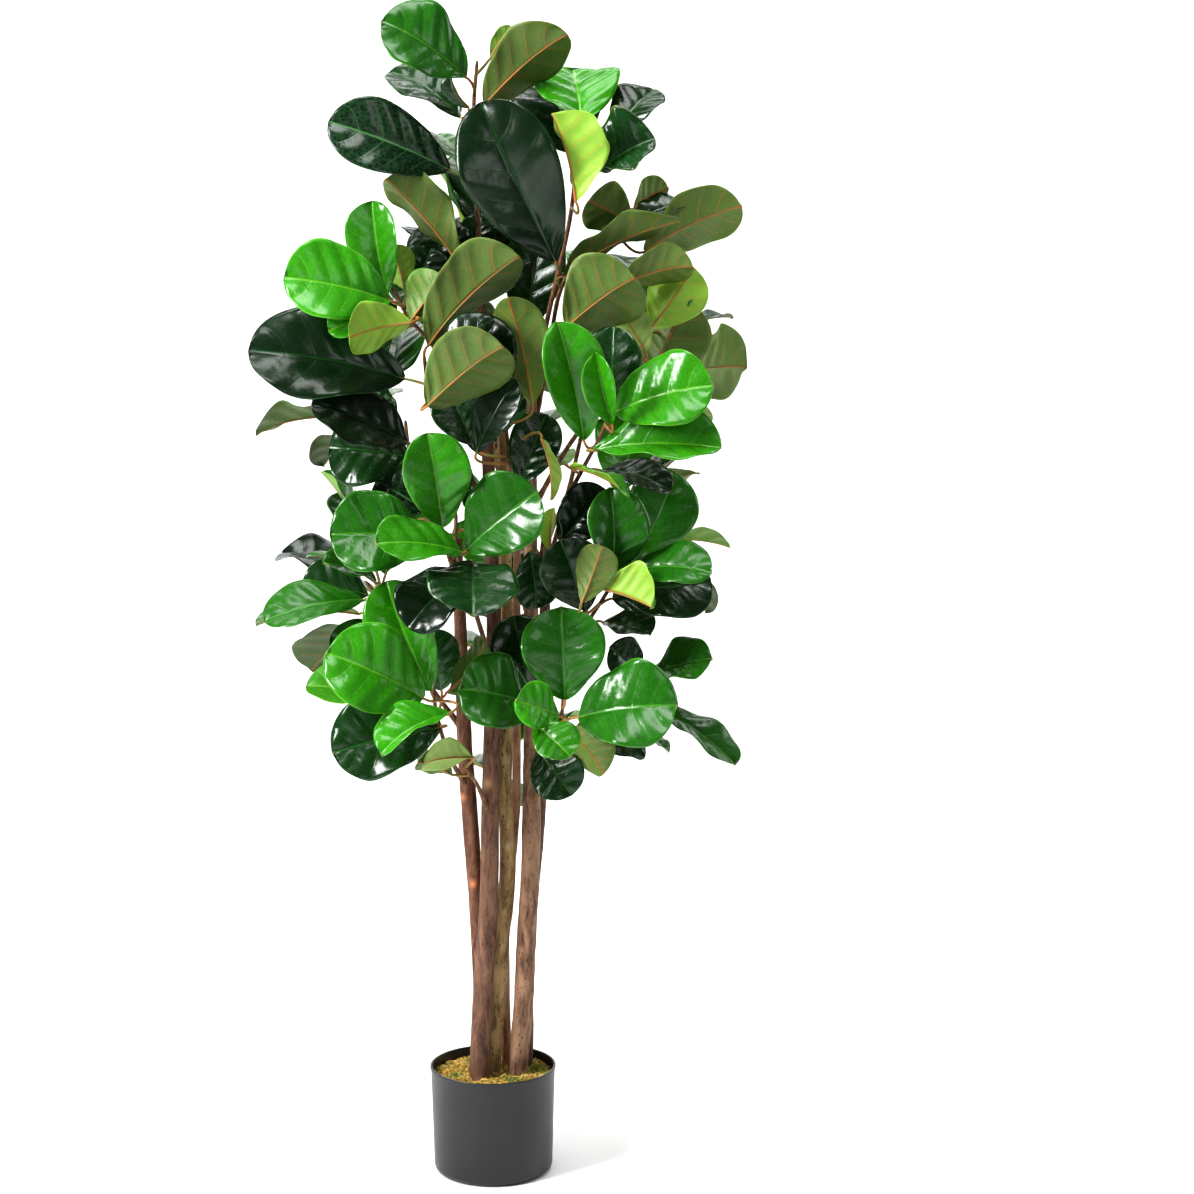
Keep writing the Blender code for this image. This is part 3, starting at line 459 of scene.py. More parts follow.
def texture(tree, kind, coordinate, **inputs):
    """The first output of a texture node; an input goes by its title in small letters."""
    titled = {key.title(): value for key, value in inputs.items()}
    return add(tree, kind, {"Vector": coordinate, **titled}).outputs[0]


def new_material(name, **sockets):
    """A material with constants set on its shader; an underscore stands for a space."""
    material = bpy.data.materials.new(name)
    material.use_nodes = True
    tree = material.node_tree
    shader = tree.nodes["Principled BSDF"]
    for key, value in sockets.items():
        shader.inputs[key.replace("_", " ")].default_value = value
    return material, tree, shader


def bump(tree, shader, height, strength, distance):
    """Relief that shows in the light but doesn't change the shape."""
    made = add(tree, "ShaderNodeBump", {"Height": height, "Strength": strength, "Distance": distance})
    tree.links.new(made.outputs[0], shader.inputs["Normal"])


def object_place(tree, scale=(1, 1, 1)):
    """Places on the object in metres, stretched by a scale."""
    place = add(tree, "ShaderNodeTexCoord").outputs["Object"]
    return add(tree, "ShaderNodeMapping", {"Vector": place, "Scale": scale}).outputs[0]


def moulded_plastic():
    """Injection-moulded black polypropylene: even, almost matt, with a fine spark-eroded grain."""
    material, tree, shader = new_material("moulded_black_polypropylene", IOR=1.49)
    place = object_place(tree)
    grain = texture(tree, "ShaderNodeTexNoise", place, scale=1 / (1.2 * MM), detail=2.0)
    cloud = texture(tree, "ShaderNodeTexNoise", place, scale=1 / (60 * MM), detail=3.0)
    colour = ramp(tree, cloud, (0.3, "#1c1d1f"), (0.7, "#232325"))
    tree.links.new(colour, shader.inputs["Base Color"])
    tree.links.new(between(tree, cloud, 0.36, 0.48), shader.inputs["Roughness"])
    bump(tree, shader, grain, 0.12, 0.2 * MM)
    return material


def set_fill():
    """Set mortar: grey, matt, with sand and small voids."""
    material, tree, shader = new_material("set_mortar", Roughness=0.95)
    place = object_place(tree)
    sand = texture(tree, "ShaderNodeTexNoise", place, scale=1 / (2 * MM), detail=4.0)
    tree.links.new(ramp(tree, sand, (0.3, "#6e6a62"), (0.7, "#a29c90")), shader.inputs["Base Color"])
    bump(tree, shader, sand, 0.5, 1 * MM)
    return material


def dry_moss(name, dark, straw, mustard, green):
    """Dried dyed moss: matt curly strands that run from straw to mustard with greener tufts."""
    material, tree, shader = new_material(name, Roughness=0.9, Sheen_Weight=0.15)
    place = object_place(tree)
    tuft = texture(tree, "ShaderNodeTexNoise", place, scale=1 / (30 * MM), detail=2.0)
    strand = texture(tree, "ShaderNodeTexNoise", place, scale=1 / (4 * MM), detail=3.0)
    colour = ramp(tree, strand, (0.3, dark), (0.45, mustard), (0.62, straw))
    greener = ramp(tree, strand, (0.32, dark), (0.6, green))
    colour = blend(tree, step(tree, tuft, 0.5, 0.62), colour, greener)
    tree.links.new(colour, shader.inputs["Base Color"])
    bump(tree, shader, strand, 0.4, 1 * MM)
    return material


def bark(name, dark, main, pale, mark, patch, speckle):
    """Dried bark. The colours run from its cracks to its worn ridges, and mark is a cut or a scar.

    It gives the eye a dull, streaked stem with paler patches and dark specks.
    """
    material, tree, shader = new_material(name)
    place = object_place(tree, (1, 1, 0.25))
    streak = texture(tree, "ShaderNodeTexNoise", place, scale=1 / (9 * MM), detail=6.0, distortion=0.6)
    grain = texture(tree, "ShaderNodeTexNoise", place, scale=1 / (2.2 * MM), detail=4.0)
    flecks = texture(tree, "ShaderNodeTexVoronoi", object_place(tree, (1, 1, 0.6)), scale=1 / (7 * MM))
    patches = object_place(tree, (1, 1, 0.5))
    cloud = texture(tree, "ShaderNodeTexNoise", patches, scale=1 / (45 * MM), detail=3.0)
    colour = ramp(tree, streak, (0.3, dark), (0.5, main), (0.72, pale))
    colour = blend(tree, maths(tree, "MULTIPLY", step(tree, cloud, 0.45, 0.6), patch), colour, linear(pale))
    spots = maths(tree, "MULTIPLY", step(tree, flecks, 0.28, 0.12), speckle)
    colour = blend(tree, spots, colour, linear(dark))
    colour = blend(tree, maths(tree, "MULTIPLY", step(tree, grain, 0.4, 0.62), 0.25), colour, linear(pale))
    scar = add(tree, "ShaderNodeAttribute", attribute_name="scar").outputs["Fac"]
    colour = blend(tree, scar, colour, linear(mark))
    tree.links.new(colour, shader.inputs["Base Color"])
    tree.links.new(between(tree, streak, *BARK_ROUGHNESS), shader.inputs["Roughness"])
    height = maths(tree, "ADD", streak, maths(tree, "MULTIPLY", grain, 0.4))
    bump(tree, shader, height, 0.55, 1.6 * MM)
    return material


def leaf_face(name, colour_name, vein_name, roughness, vein_strength, pucker):
    """One face of a leaf, from its own colours, with its midrib, side veins, net veins and margin."""
    material, tree, shader = new_material(name, IOR=1.46)
    colour = add(tree, "ShaderNodeAttribute", attribute_name=colour_name).outputs["Color"]
    vein = add(tree, "ShaderNodeAttribute", attribute_name=vein_name).outputs["Color"]
    rim = add(tree, "ShaderNodeAttribute", attribute_name="leaf_rim").outputs["Color"]
    share = add(tree, "ShaderNodeSeparateXYZ", {0: add(tree, "ShaderNodeUVMap", uv_map="blade").outputs[0]})
    size = add(tree, "ShaderNodeUVMap", uv_map="real_size").outputs[0]
    sideways = add(tree, "ShaderNodeSeparateXYZ", {0: size}).outputs[0]
    across = maths(tree, "ABSOLUTE", maths(tree, "MULTIPLY_ADD", share.outputs[0], 2.0, -1.0))
    along = share.outputs[1]
    bent = maths(tree, "MULTIPLY", maths(tree, "POWER", across, VEIN_BEND), VEIN_SLOPE)
    count = maths(tree, "MULTIPLY", maths(tree, "SUBTRACT", along, bent), VEIN_PAIRS)
    gap = maths(tree, "ABSOLUTE", maths(tree, "SUBTRACT", maths(tree, "FRACT", count), 0.5))
    side = maths(tree, "MULTIPLY", step(tree, gap, 0.45, 0.488), step(tree, across, 0.95, 0.55))
    middle = step(tree, maths(tree, "ABSOLUTE", sideways), 2.2 * MM, 1.1 * MM)
    place = object_place(tree)
    mottle = texture(tree, "ShaderNodeTexNoise", place, scale=1 / (22 * MM), detail=4.0)
    net = texture(tree, "ShaderNodeTexVoronoi", place, scale=1 / (5 * MM))
    blade = blend(tree, step(tree, mottle, 0.25, 0.8), colour, linear("#ffffff"), "SOFT_LIGHT")
    blade = blend(tree, 0.2, colour, blade)
    blade = blend(tree, maths(tree, "MULTIPLY", step(tree, net, 0.35, 0.7), 0.12), blade, vein)
    blade = blend(tree, maths(tree, "MULTIPLY", side, vein_strength), blade, vein)
    blade = blend(tree, maths(tree, "MULTIPLY", middle, 0.75), blade, vein)
    blade = blend(tree, maths(tree, "MULTIPLY", step(tree, across, 0.955, 0.99), 0.8), blade, rim)
    tree.links.new(blade, shader.inputs["Base Color"])
    tree.links.new(between(tree, mottle, roughness - 0.08, roughness + 0.08), shader.inputs["Roughness"])
    fine = maths(tree, "ADD", maths(tree, "MULTIPLY", net, 0.5), maths(tree, "MULTIPLY", side, -1.0))
    bump(tree, shader, fine, pucker, 0.5 * MM)
    return material


def twig_bark():
    """Young fig wood: brown wrapped bark."""
    material, tree, shader = new_material("young_fig_wood", Roughness=0.7)
    place = object_place(tree, (1, 1, 0.4))
    streak = texture(tree, "ShaderNodeTexNoise", place, scale=1 / (4 * MM), detail=4.0)
    colour = ramp(tree, streak, (0.3, "#3f2a1a"), (0.52, "#6e4a2e"), (0.75, "#93704a"))
    tree.links.new(colour, shader.inputs["Base Color"])
    bump(tree, shader, streak, 0.4, 0.8 * MM)
    return material


def leaf_stalk():
    """Leaf stalks: olive with a rust-coloured flush, satin."""
    material, tree, shader = new_material("waxy_leaf_stalk", Roughness=0.5, IOR=1.46)
    place = object_place(tree)
    flush = texture(tree, "ShaderNodeTexNoise", place, scale=1 / (15 * MM), detail=2.0)
    colour = ramp(tree, flush, (0.35, "#6f7a32"), (0.55, "#a0703a"), (0.7, "#b56a34"))
    tree.links.new(colour, shader.inputs["Base Color"])
    return material


def shown(name, mesh, node, slot):
    """Makes a finished mesh the piece that stands for a CAD node."""
    piece = bpy.data.objects.new(name, mesh)
    bpy.context.scene.collection.objects.link(piece)
    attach(piece, "root")
    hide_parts(node)
    return piece


def turned(name, profile, steps):
    """A closed (r, z) profile turned round the Z axis; a point with no radius is a pole."""
    bm = bmesh.new()
    verts = [bm.verts.new((r, 0, z)) for r, z in profile]
    edges = [bm.edges.new(pair) for pair in zip(verts, verts[1:])]
    bmesh.ops.spin(bm, geom=verts + edges, cent=(0, 0, 0), axis=(0, 0, 1), angle=math.tau, steps=steps)
    bmesh.ops.remove_doubles(bm, verts=bm.verts, dist=1e-5)
    bmesh.ops.recalc_face_normals(bm, faces=bm.faces)
    mesh = bpy.data.meshes.new(name)
    bm.to_mesh(mesh)
    bm.free()
    mesh.shade_smooth()
    mesh.set_sharp_from_angle(angle=math.radians(50))
    return mesh


def wall_radius(z):
    """The radius of the pot's tapered outer wall at a height."""
    return POT_FOOT_RADIUS + (POT_RIM_RADIUS - RIM_LIP - POT_FOOT_RADIUS) * z / POT_HEIGHT


def arc(centre, radius, start, end, count):
    """Points on an arc, from one angle to another in degrees."""
    return [
        (centre[0] + radius * math.cos(a), centre[1] + radius * math.sin(a))
        for a in (math.radians(start + (end - start) * i / count) for i in range(count + 1))
    ]


def rounded(corner_r, corner_z, inward_r, inward_z, radius, start, end, count):
    """The arc that rounds one corner of a profile; inward says on which side its centre lies."""
    centre = (corner_r + inward_r * radius, corner_z + inward_z * radius)
    return arc(centre, radius, start, end, count)


def make_pot():
    """A tapered shell with a rounded foot and a thin rolled rim."""
    lip_foot = POT_HEIGHT - RIM_LIP_HEIGHT
    rim = wall_radius(POT_HEIGHT)
    profile = [(0, POT_FLOOR)]
    inner = POT_FOOT_ROUND - POT_WALL
    centre = wall_radius(POT_FOOT_ROUND) - POT_FOOT_ROUND
    profile += arc((centre, POT_FLOOR + inner), inner, -90, 0, 8)
    profile += [(rim - POT_WALL, POT_HEIGHT - RIM_BEND)]
    profile += rounded(rim - POT_WALL, POT_HEIGHT, 1, -1, RIM_INNER_ROUND, 180, 90, 4)
    profile += rounded(POT_RIM_RADIUS, POT_HEIGHT, -1, -1, RIM_OUTER_ROUND, 90, 0, 5)
    profile += rounded(POT_RIM_RADIUS, lip_foot, -1, 1, LIP_FOOT_ROUND, 0, -90, 3)
    profile += rounded(wall_radius(lip_foot), lip_foot, 1, -1, LIP_FILLET, 90, 180, 3)
    profile += [(wall_radius(z), z) for z in POT_WALL_ROWS]
    profile += arc((centre, POT_FOOT_ROUND), POT_FOOT_ROUND, 0, -90, 10)
    profile += [(0, 0)]
    pot = shown("moulded_pot", turned("moulded_pot", profile, POT_STEPS), "pot", "pot_plastic")
    pot.data.materials.append(moulded_plastic())


def moss_height(x, y):
    """The mat's uneven top."""
    share = math.hypot(x, y) / MOSS_RADIUS
    swell = MOSS_SWELL * math.sin(2.6 * share)
    lump = noise.noise(Vector((x, y, 0.3)) / MOSS_LUMP[1]) * MOSS_LUMP[0]
    fine = noise.noise(Vector((x, y, 1.3)) / MOSS_FINE[1]) * MOSS_FINE[0]
    return MOSS_FACE + (swell + lump + fine) * (1 if share < MOSS_RIM_SHARE else 0.3)


def moss_mat():
    """A closed lumpy mat over the fill."""
    radii = [MOSS_RADIUS * i / MOSS_RINGS for i in range(MOSS_RINGS + 1)]
    profile = [(r, MOSS_TOP) for r in radii] + [(MOSS_RADIUS, MOSS_LOW), (0, MOSS_LOW)]
    mesh = turned("moss_mat", profile, MOSS_STEPS)
    for vert in mesh.vertices:
        if vert.co.z > MOSS_TOP - 1e-4:
            vert.co.z = moss_height(vert.co.x, vert.co.y)
    return mesh


def socket(tree, name):
    """The identifier of one of a node group's inputs."""
    return next(s.identifier for s in tree.interface.items_tree if s.name == name)


def strand_tree(material):
    """Curly strands spread over the mat's top."""
    tree = bpy.data.node_groups.new("curly_strands", "GeometryNodeTree")
    face = tree.interface
    face.new_socket("Geometry", in_out="INPUT", socket_type="NodeSocketGeometry")
    face.new_socket("Geometry", in_out="OUTPUT", socket_type="NodeSocketGeometry")
    for name, value in (("Count per square metre", 0.0), ("Thickness", 0.0), ("Curl radius", 0.0)):
        face.new_socket(name, in_out="INPUT", socket_type="NodeSocketFloat").default_value = value
    face.new_socket("Seed", in_out="INPUT", socket_type="NodeSocketInt")
    given = add(tree, "NodeGroupInput").outputs
    normal = add(tree, "GeometryNodeInputNormal").outputs[0]
    up = add(tree, "ShaderNodeSeparateXYZ", {0: normal}).outputs[2]
    top = add(tree, "FunctionNodeCompare", {0: up, 1: 0.3}, operation="GREATER_THAN").outputs[0]
    points = add(tree, "GeometryNodeDistributePointsOnFaces", {
        "Mesh": given["Geometry"], "Selection": top, "Density": given["Count per square metre"],
        "Seed": given["Seed"],
    }).outputs[0]
    curl = add(tree, "GeometryNodeCurveSpiral", {
        "Resolution": 7, "Rotations": 0.85, "Start Radius": given["Curl radius"],
        "End Radius": maths(tree, "MULTIPLY", given["Curl radius"], 0.45),
        "Height": maths(tree, "MULTIPLY", given["Curl radius"], 0.8),
    }).outputs[0]
    section = add(tree, "GeometryNodeCurvePrimitiveCircle", {
        "Resolution": 3, "Radius": given["Thickness"],
    }).outputs[0]
    strand = add(tree, "GeometryNodeCurveToMesh", {
        "Curve": curl, "Profile Curve": section, "Fill Caps": True,
    }).outputs[0]
    turn = add(tree, "FunctionNodeRandomValue", {0: (-1.1, -1.1, 0), 1: (1.1, 1.1, 6.28), "Seed": 3},
               data_type="FLOAT_VECTOR").outputs[0]
    size = add(tree, "FunctionNodeRandomValue", {2: 0.5, 3: 1.35, "Seed": 4}, data_type="FLOAT").outputs[1]
    spread = add(tree, "GeometryNodeInstanceOnPoints", {
        "Points": points, "Instance": strand, "Rotation": turn, "Scale": size,
    }).outputs[0]
    plain = add(tree, "GeometryNodeRealizeInstances", {0: spread}).outputs[0]
    wander = add(tree, "ShaderNodeTexNoise", {
        "Scale": 1 / STRAND_WANDER_SIZE, "Detail": 1.0,
    }).outputs["Color"]
    centred = add(tree, "ShaderNodeVectorMath", {0: wander, 1: (0.5, 0.5, 0.5)},
                  operation="SUBTRACT").outputs[0]
    shift = add(tree, "ShaderNodeVectorMath", {0: centred, "Scale": STRAND_WANDER},
                operation="SCALE").outputs[0]
    moved = add(tree, "GeometryNodeSetPosition", {"Geometry": plain, "Offset": shift}).outputs[0]
    done = add(tree, "GeometryNodeSetMaterial", {"Geometry": moved, "Material": material}).outputs[0]
    add(tree, "NodeGroupOutput", {0: done})
    return tree


def make_moss():
    """The mat and its loose strands as one piece."""
    strand_finish = dry_moss("dry_moss_strands", "#5c4718", "#e6c974", "#c8a036", "#9aa434")
    mat = moss_mat()
    # The mat's colours are darker copies of the strands' colours: painted shade for where the mat lies
    # under and between the strands.
    mat.materials.append(dry_moss("dry_moss_mat_painted_shade", "#2c2410", "#8f7630", "#6f5a1e", "#565c1c"))
    holder = bpy.data.objects.new("strand_holder", mat.copy())
    bpy.context.scene.collection.objects.link(holder)
    tree = strand_tree(strand_finish)
    modifier = holder.modifiers.new("Strands", "NODES")
    modifier.node_group = tree
    area = math.pi * MOSS_RADIUS ** 2
    for name, value in (("Count per square metre", STRAND_COUNT / area), ("Thickness", STRAND_THICKNESS),
                        ("Curl radius", STRAND_CURL), ("Seed", STRAND_SEED)):
        modifier[socket(tree, name)] = value
    graph = bpy.context.evaluated_depsgraph_get()
    strands = bpy.data.meshes.new_from_object(holder.evaluated_get(graph))
    bpy.data.objects.remove(holder)
    bm = bmesh.new()
    bm.from_mesh(mat)
    bm.from_mesh(strands)
    whole = bpy.data.meshes.new("moss_tufts")
    for face in bm.faces:
        face.material_index = 0 if face.index < len(mat.polygons) else 1
    limit = wall_radius(MOSS_TOP) - POT_WALL - 0.4 * MM
    for vert in bm.verts:
        reach = math.hypot(vert.co.x, vert.co.y)
        if reach > limit:
            vert.co.x *= limit / reach
            vert.co.y *= limit / reach
        vert.co.z = max(vert.co.z, MOSS_LOW)
    bm.to_mesh(whole)
    bm.free()
    whole.materials.append(mat.materials[0])
    whole.materials.append(strand_finish)
    whole.shade_smooth()
    shown("moss_tufts", whole, "moss", "dry_moss")


def smooth_route(points, spacing):
    """Rows read from a Catmull-Rom curve through the given rows, about one spacing apart."""
    rows = [Vector(p) for p in points]
    rows = [2 * rows[0] - rows[1], *rows, 2 * rows[-1] - rows[-2]]
    route = []
    for before, start, end, after in zip(rows, rows[1:], rows[2:], rows[3:]):
        count = max(1, round((end - start).length / spacing))
        for part in range(count):
            t = part / count
            route.append(
                0.5 * (2 * start + (end - before) * t
                       + (2 * before - 5 * start + 4 * end - after) * t * t
                       + (3 * start - before - 3 * end + after) * t ** 3)
            )
    route.append(rows[-2])
    return route


def tube(centres, radii, sides, relief=None):
    """A closed tube's points and faces; relief(point, angle, radius) changes the radius at a point."""
    centres = [Vector(c[:3]) for c in centres]
    across = Vector((1, 0, 0))
    verts, faces = [], []
    for index, centre in enumerate(centres):
        ahead = (centres[min(index + 1, len(centres) - 1)] - centres[max(index - 1, 0)]).normalized()
        if abs(ahead.dot(across)) > 0.95:
            across = Vector((0, 1, 0))
        across = (across - across.dot(ahead) * ahead).normalized()
        other = ahead.cross(across)
        for side in range(sides):
            angle = math.tau * side / sides
            way = across * math.cos(angle) + other * math.sin(angle)
            radius = radii[index]
            if relief:
                radius = relief(centre, angle, radius)
            verts.append(centre + way * radius)
    for row in range(len(centres) - 1):
        for side in range(sides):
            a, b = row * sides + side, row * sides + (side + 1) % sides
            faces.append((a, b, b + sides, a + sides))
    faces.append(tuple(range(sides - 1, -1, -1)))
    last = (len(centres) - 1) * sides
    faces.append(tuple(range(last, last + sides)))
    return verts, faces


# Knots and cuts: pole, height, the angle they face (0 is +X, 270 the front), size, rise, scar.
KNOTS = [
    ("pole_left", 46, 265, 0.9, 0.35, 1.0), ("pole_left", 60, 235, 0.8, 0.5, 1.0),
    ("pole_front_left", 62.5, 250, 1.1, 0.06, 0.7), ("pole_front_left", 51, 200, 0.8, 0.2, 0.2),
    ("pole_middle", 52, 270, 1.0, 0.22, 0.6), ("pole_middle", 36, 300, 0.8, 0.15, 0.4),
    ("pole_right", 60, 255, 1.0, 0.3, 0.35), ("pole_right", 40, 300, 0.9, 0.22, 0.3),
    ("pole_right", 27, 230, 0.8, 0.18, 0.2), ("pole_back", 55, 300, 0.8, 0.2, 0.2),
    ("pole_thin", 49, 270, 0.6, 0.12, 0.4), ("pole_front_left", 33, 290, 0.7, 0.1, 0.2),
]
# Ridge depth and lump depth of each pole's bark, in centimetres.
RELIEF = {
    "pole_front_left": (0.035, 0.05), "pole_middle": (0.09, 0.11), "pole_right": (0.07, 0.1),
    "pole_left": (0.04, 0.06), "pole_thin": (0.03, 0.05), "pole_back": (0.06, 0.08),
}
# Each pole's slot and bark: material, cracks, main colour, worn ridges, scars, patches, specks.
BARKS = {
    "pole_front_left": ("bark_smooth_brown", "smooth_brown_bark",
                        "#2c1a12", "#5f4132", "#84604a", "#c39a72", 0.25, 0.4),
    "pole_middle": ("bark_mottled_tan", "mottled_tan_bark",
                    "#43321f", "#917349", "#b99f72", "#cbb488", 0.75, 0.9),
    "pole_right": ("bark_mottled_brown", "mottled_brown_bark",
                   "#2c1d14", "#6f4f3a", "#98785e", "#94684a", 0.5, 0.7),
    "pole_left": ("bark_smooth_brown", "red_brown_bark",
                  "#2a160e", "#5f3a29", "#875f46", "#cf8358", 0.25, 0.35),
    "pole_thin": ("bark_pink", "pink_tan_bark",
                  "#6a4636", "#b08266", "#cfa98c", "#d8b494", 0.4, 0.3),
    "pole_back": ("bark_mottled_brown", "dark_brown_bark",
                  "#22160f", "#4f3626", "#755744", "#7a5640", 0.3, 0.5),
}


def knot_share(pole, height, angle, knot):
    """How far a point on a pole is inside a knot: 1 at its middle, falling to 0."""
    turned_by = (angle - math.radians(knot[2]) + math.pi) % math.tau - math.pi
    radius = POLES[pole][4][3]
    gap = math.hypot(turned_by * radius, height - knot[1]) / knot[3]
    return math.exp(-2.2 * gap * gap)


def pole_relief(name):
    """The function that roughens one pole's bark."""
    ridge, lump = RELIEF[name]
    offset = POLE_OFFSET * list(POLES).index(name)
    knots = [knot for knot in KNOTS if knot[0] == name]

    def relief(centre, angle, radius):
        around = Vector((math.cos(angle) * 1.4, math.sin(angle) * 1.4, 0))
        lines = noise.noise(around * 1.7 + Vector((offset, 0, centre.z * 0.12)))
        lumps = noise.noise(around + Vector((0, offset, centre.z * 0.35)))
        swell = sum(knot[4] * knot_share(name, centre.z, angle, knot) for knot in knots)
        return radius + ridge * lines + lump * lumps + swell

    return relief


def add_scars(mesh, name, rows):
    """Marks the cuts and scars on a pole for its bark to colour."""
    scar = mesh.attributes.new("scar", "FLOAT", "POINT")
    for index in range(len(mesh.vertices)):
        row, side = divmod(index, POLE_SIDES)
        angle = math.tau * side / POLE_SIDES
        share = sum(k[5] * knot_share(name, rows[row][2], angle, k) for k in KNOTS if k[0] == name)
        scar.data[index].value = min(1.0, share)


def make_poles():
    """Each pole as one piece, from the moss to the top of its wood."""
    for name, points in POLES.items():
        slot, *finish = BARKS[name]
        rows = smooth_route(points, POLE_SPACING)
        verts, faces = tube(rows, [row[3] for row in rows], POLE_SIDES, pole_relief(name))
        mesh = bpy.data.meshes.new(name)
        mesh.from_pydata([v * CM for v in verts], [], faces)
        add_scars(mesh, name, rows)
        mesh.materials.append(bark(*finish))
        mesh.shade_smooth()
        mesh.set_sharp_from_angle(angle=math.radians(60))
        shown(name + "_bark", mesh, name, slot)


def on_pole(name, height):
    """The middle of a pole at a height."""
    rows = smooth_route(POLES[name], SOCKET_SPACING)
    for low, high in zip(rows, rows[1:]):
        if low[2] <= height <= high[2]:
            return low.lerp(high, (height - low[2]) / (high[2] - low[2])).to_3d()
    return rows[-1].to_3d()


def nearest_on(rows, point):
    """The point on a route that is nearest to another."""
    best = None
    for start, end in zip(rows, rows[1:]):
        a, b = Vector(start[:3]), Vector(end[:3])
        t = max(0.0, min(1.0, (point - a).dot(b - a) / (b - a).length_squared))
        spot = a.lerp(b, t)
        if best is None or (spot - point).length < (best - point).length:
            best = spot
    return best


def back_leaves(name, end, middle, count):
    """Leaves that fan out behind a twig's end, turned from one to the next."""
    draw = random.Random(name)
    end = Vector(end)
    leaves = []
    for index in range(count):
        share = index / (count - 1)
        swing = 2 * ((0.5 + index * GOLDEN) % 1) - 1
        heading = math.radians(middle + BACK_SPREAD * swing + draw.uniform(-BACK_JITTER, BACK_JITTER))
        rise = math.radians(BACK_LOWEST + BACK_RISE * share + draw.uniform(-BACK_JITTER, BACK_JITTER))
        ahead = Vector((math.sin(heading) * math.cos(rise), math.cos(heading) * math.cos(rise),
                        math.sin(rise)))
        length = BACK_LEAF_LENGTH * draw.uniform(0.85, 1.15)
        foot = end + ahead * BACK_PETIOLE + Vector((0, 0, BACK_STACK * (share - 0.6)))
        facing = Vector((0, 0, 1)) - ahead * 0.6 + Vector((draw.uniform(-0.2, 0.2),) * 2 + (0,))
        leaves.append((foot, foot + ahead * length, facing, BACK_LEAF_WIDTH * length / BACK_LEAF_LENGTH))
    return leaves


def all_branches():
    """Every branch as (name, twig points, leaves, ages)."""
    for name, (pole, height, route, leaves) in BRANCHES.items():
        yield name, [on_pole(pole, height), *map(Vector, route)], leaves, AGES[name].split()
    for name, (pole, height, end, heading, count) in BACK_BRANCHES.items():
        start = on_pole(pole, height)
        middle = start.lerp(Vector(end), 0.5) - Vector((0, 0, BACK_TWIG_SAG))
        yield name, [start, middle, Vector(end)], back_leaves(name, end, heading, count), BACK_AGES


class Branch:
    """One branch's growing mesh: points, faces, their finish, and what each point carries."""

    def __init__(self):
        self.verts, self.faces, self.finish = [], [], []
        self.blade, self.real = [], []
        self.colours = {paint: [] for paint in PAINTS}

    def grow(self, verts, faces, finish, blade=None, real=None, colours=None):
        start, count = len(self.verts), len(verts)
        self.verts += [tuple(v) for v in verts]
        self.faces += [tuple(start + i for i in face) for face in faces]
        self.finish += finish if isinstance(finish, list) else [finish] * len(faces)
        self.blade += blade or [(0.5, 0.5)] * count
        self.real += real or [(0.0, 0.0)] * count
        for key, values in self.colours.items():
            values += [colours[key] if colours else NO_PAINT] * count

    def mesh(self, name, materials):
        made = bpy.data.meshes.new(name)
        made.from_pydata([(x * CM, y * CM, z * CM) for x, y, z in self.verts], [], self.faces)
        for material in materials:
            made.materials.append(material)
        made.polygons.foreach_set("material_index", self.finish)
        corner = np.empty(len(made.loops), np.int32)
        made.loops.foreach_get("vertex_index", corner)
        for title, values in (("blade", self.blade), ("real_size", self.real)):
            layer = made.uv_layers.new(name=title)
            layer.uv.foreach_set("vector", np.array(values, np.float32)[corner].ravel())
        for title, values in self.colours.items():
            layer = made.color_attributes.new(title, "FLOAT_COLOR", "POINT")
            layer.data.foreach_set("color", np.array(values, np.float32).ravel())
        made.shade_smooth()
        return made


def leaf_frame(leaf):
    """A leaf's foot and tip, and the ways that are ahead, up from its face and to its side."""
    foot, tip, facing = Vector(leaf[0]), Vector(leaf[1]), Vector(leaf[2])
    ahead = (tip - foot).normalized()
    up = (facing - facing.dot(ahead) * ahead).normalized()
    return foot, tip, ahead, up, ahead.cross(up)


def half_width(along, width, roundness):
    """A fiddle leaf's outline: narrow at the foot, widest past the middle, round at the tip."""
    lean = math.log(0.5) / math.log(WIDEST_AT)
    inside = np.clip(np.sin(np.pi * along ** lean), 0, 1) ** roundness
    return np.maximum(width / 2 * inside, PETIOLE_WIDTH / 2 * (1 - 0.8 * along))


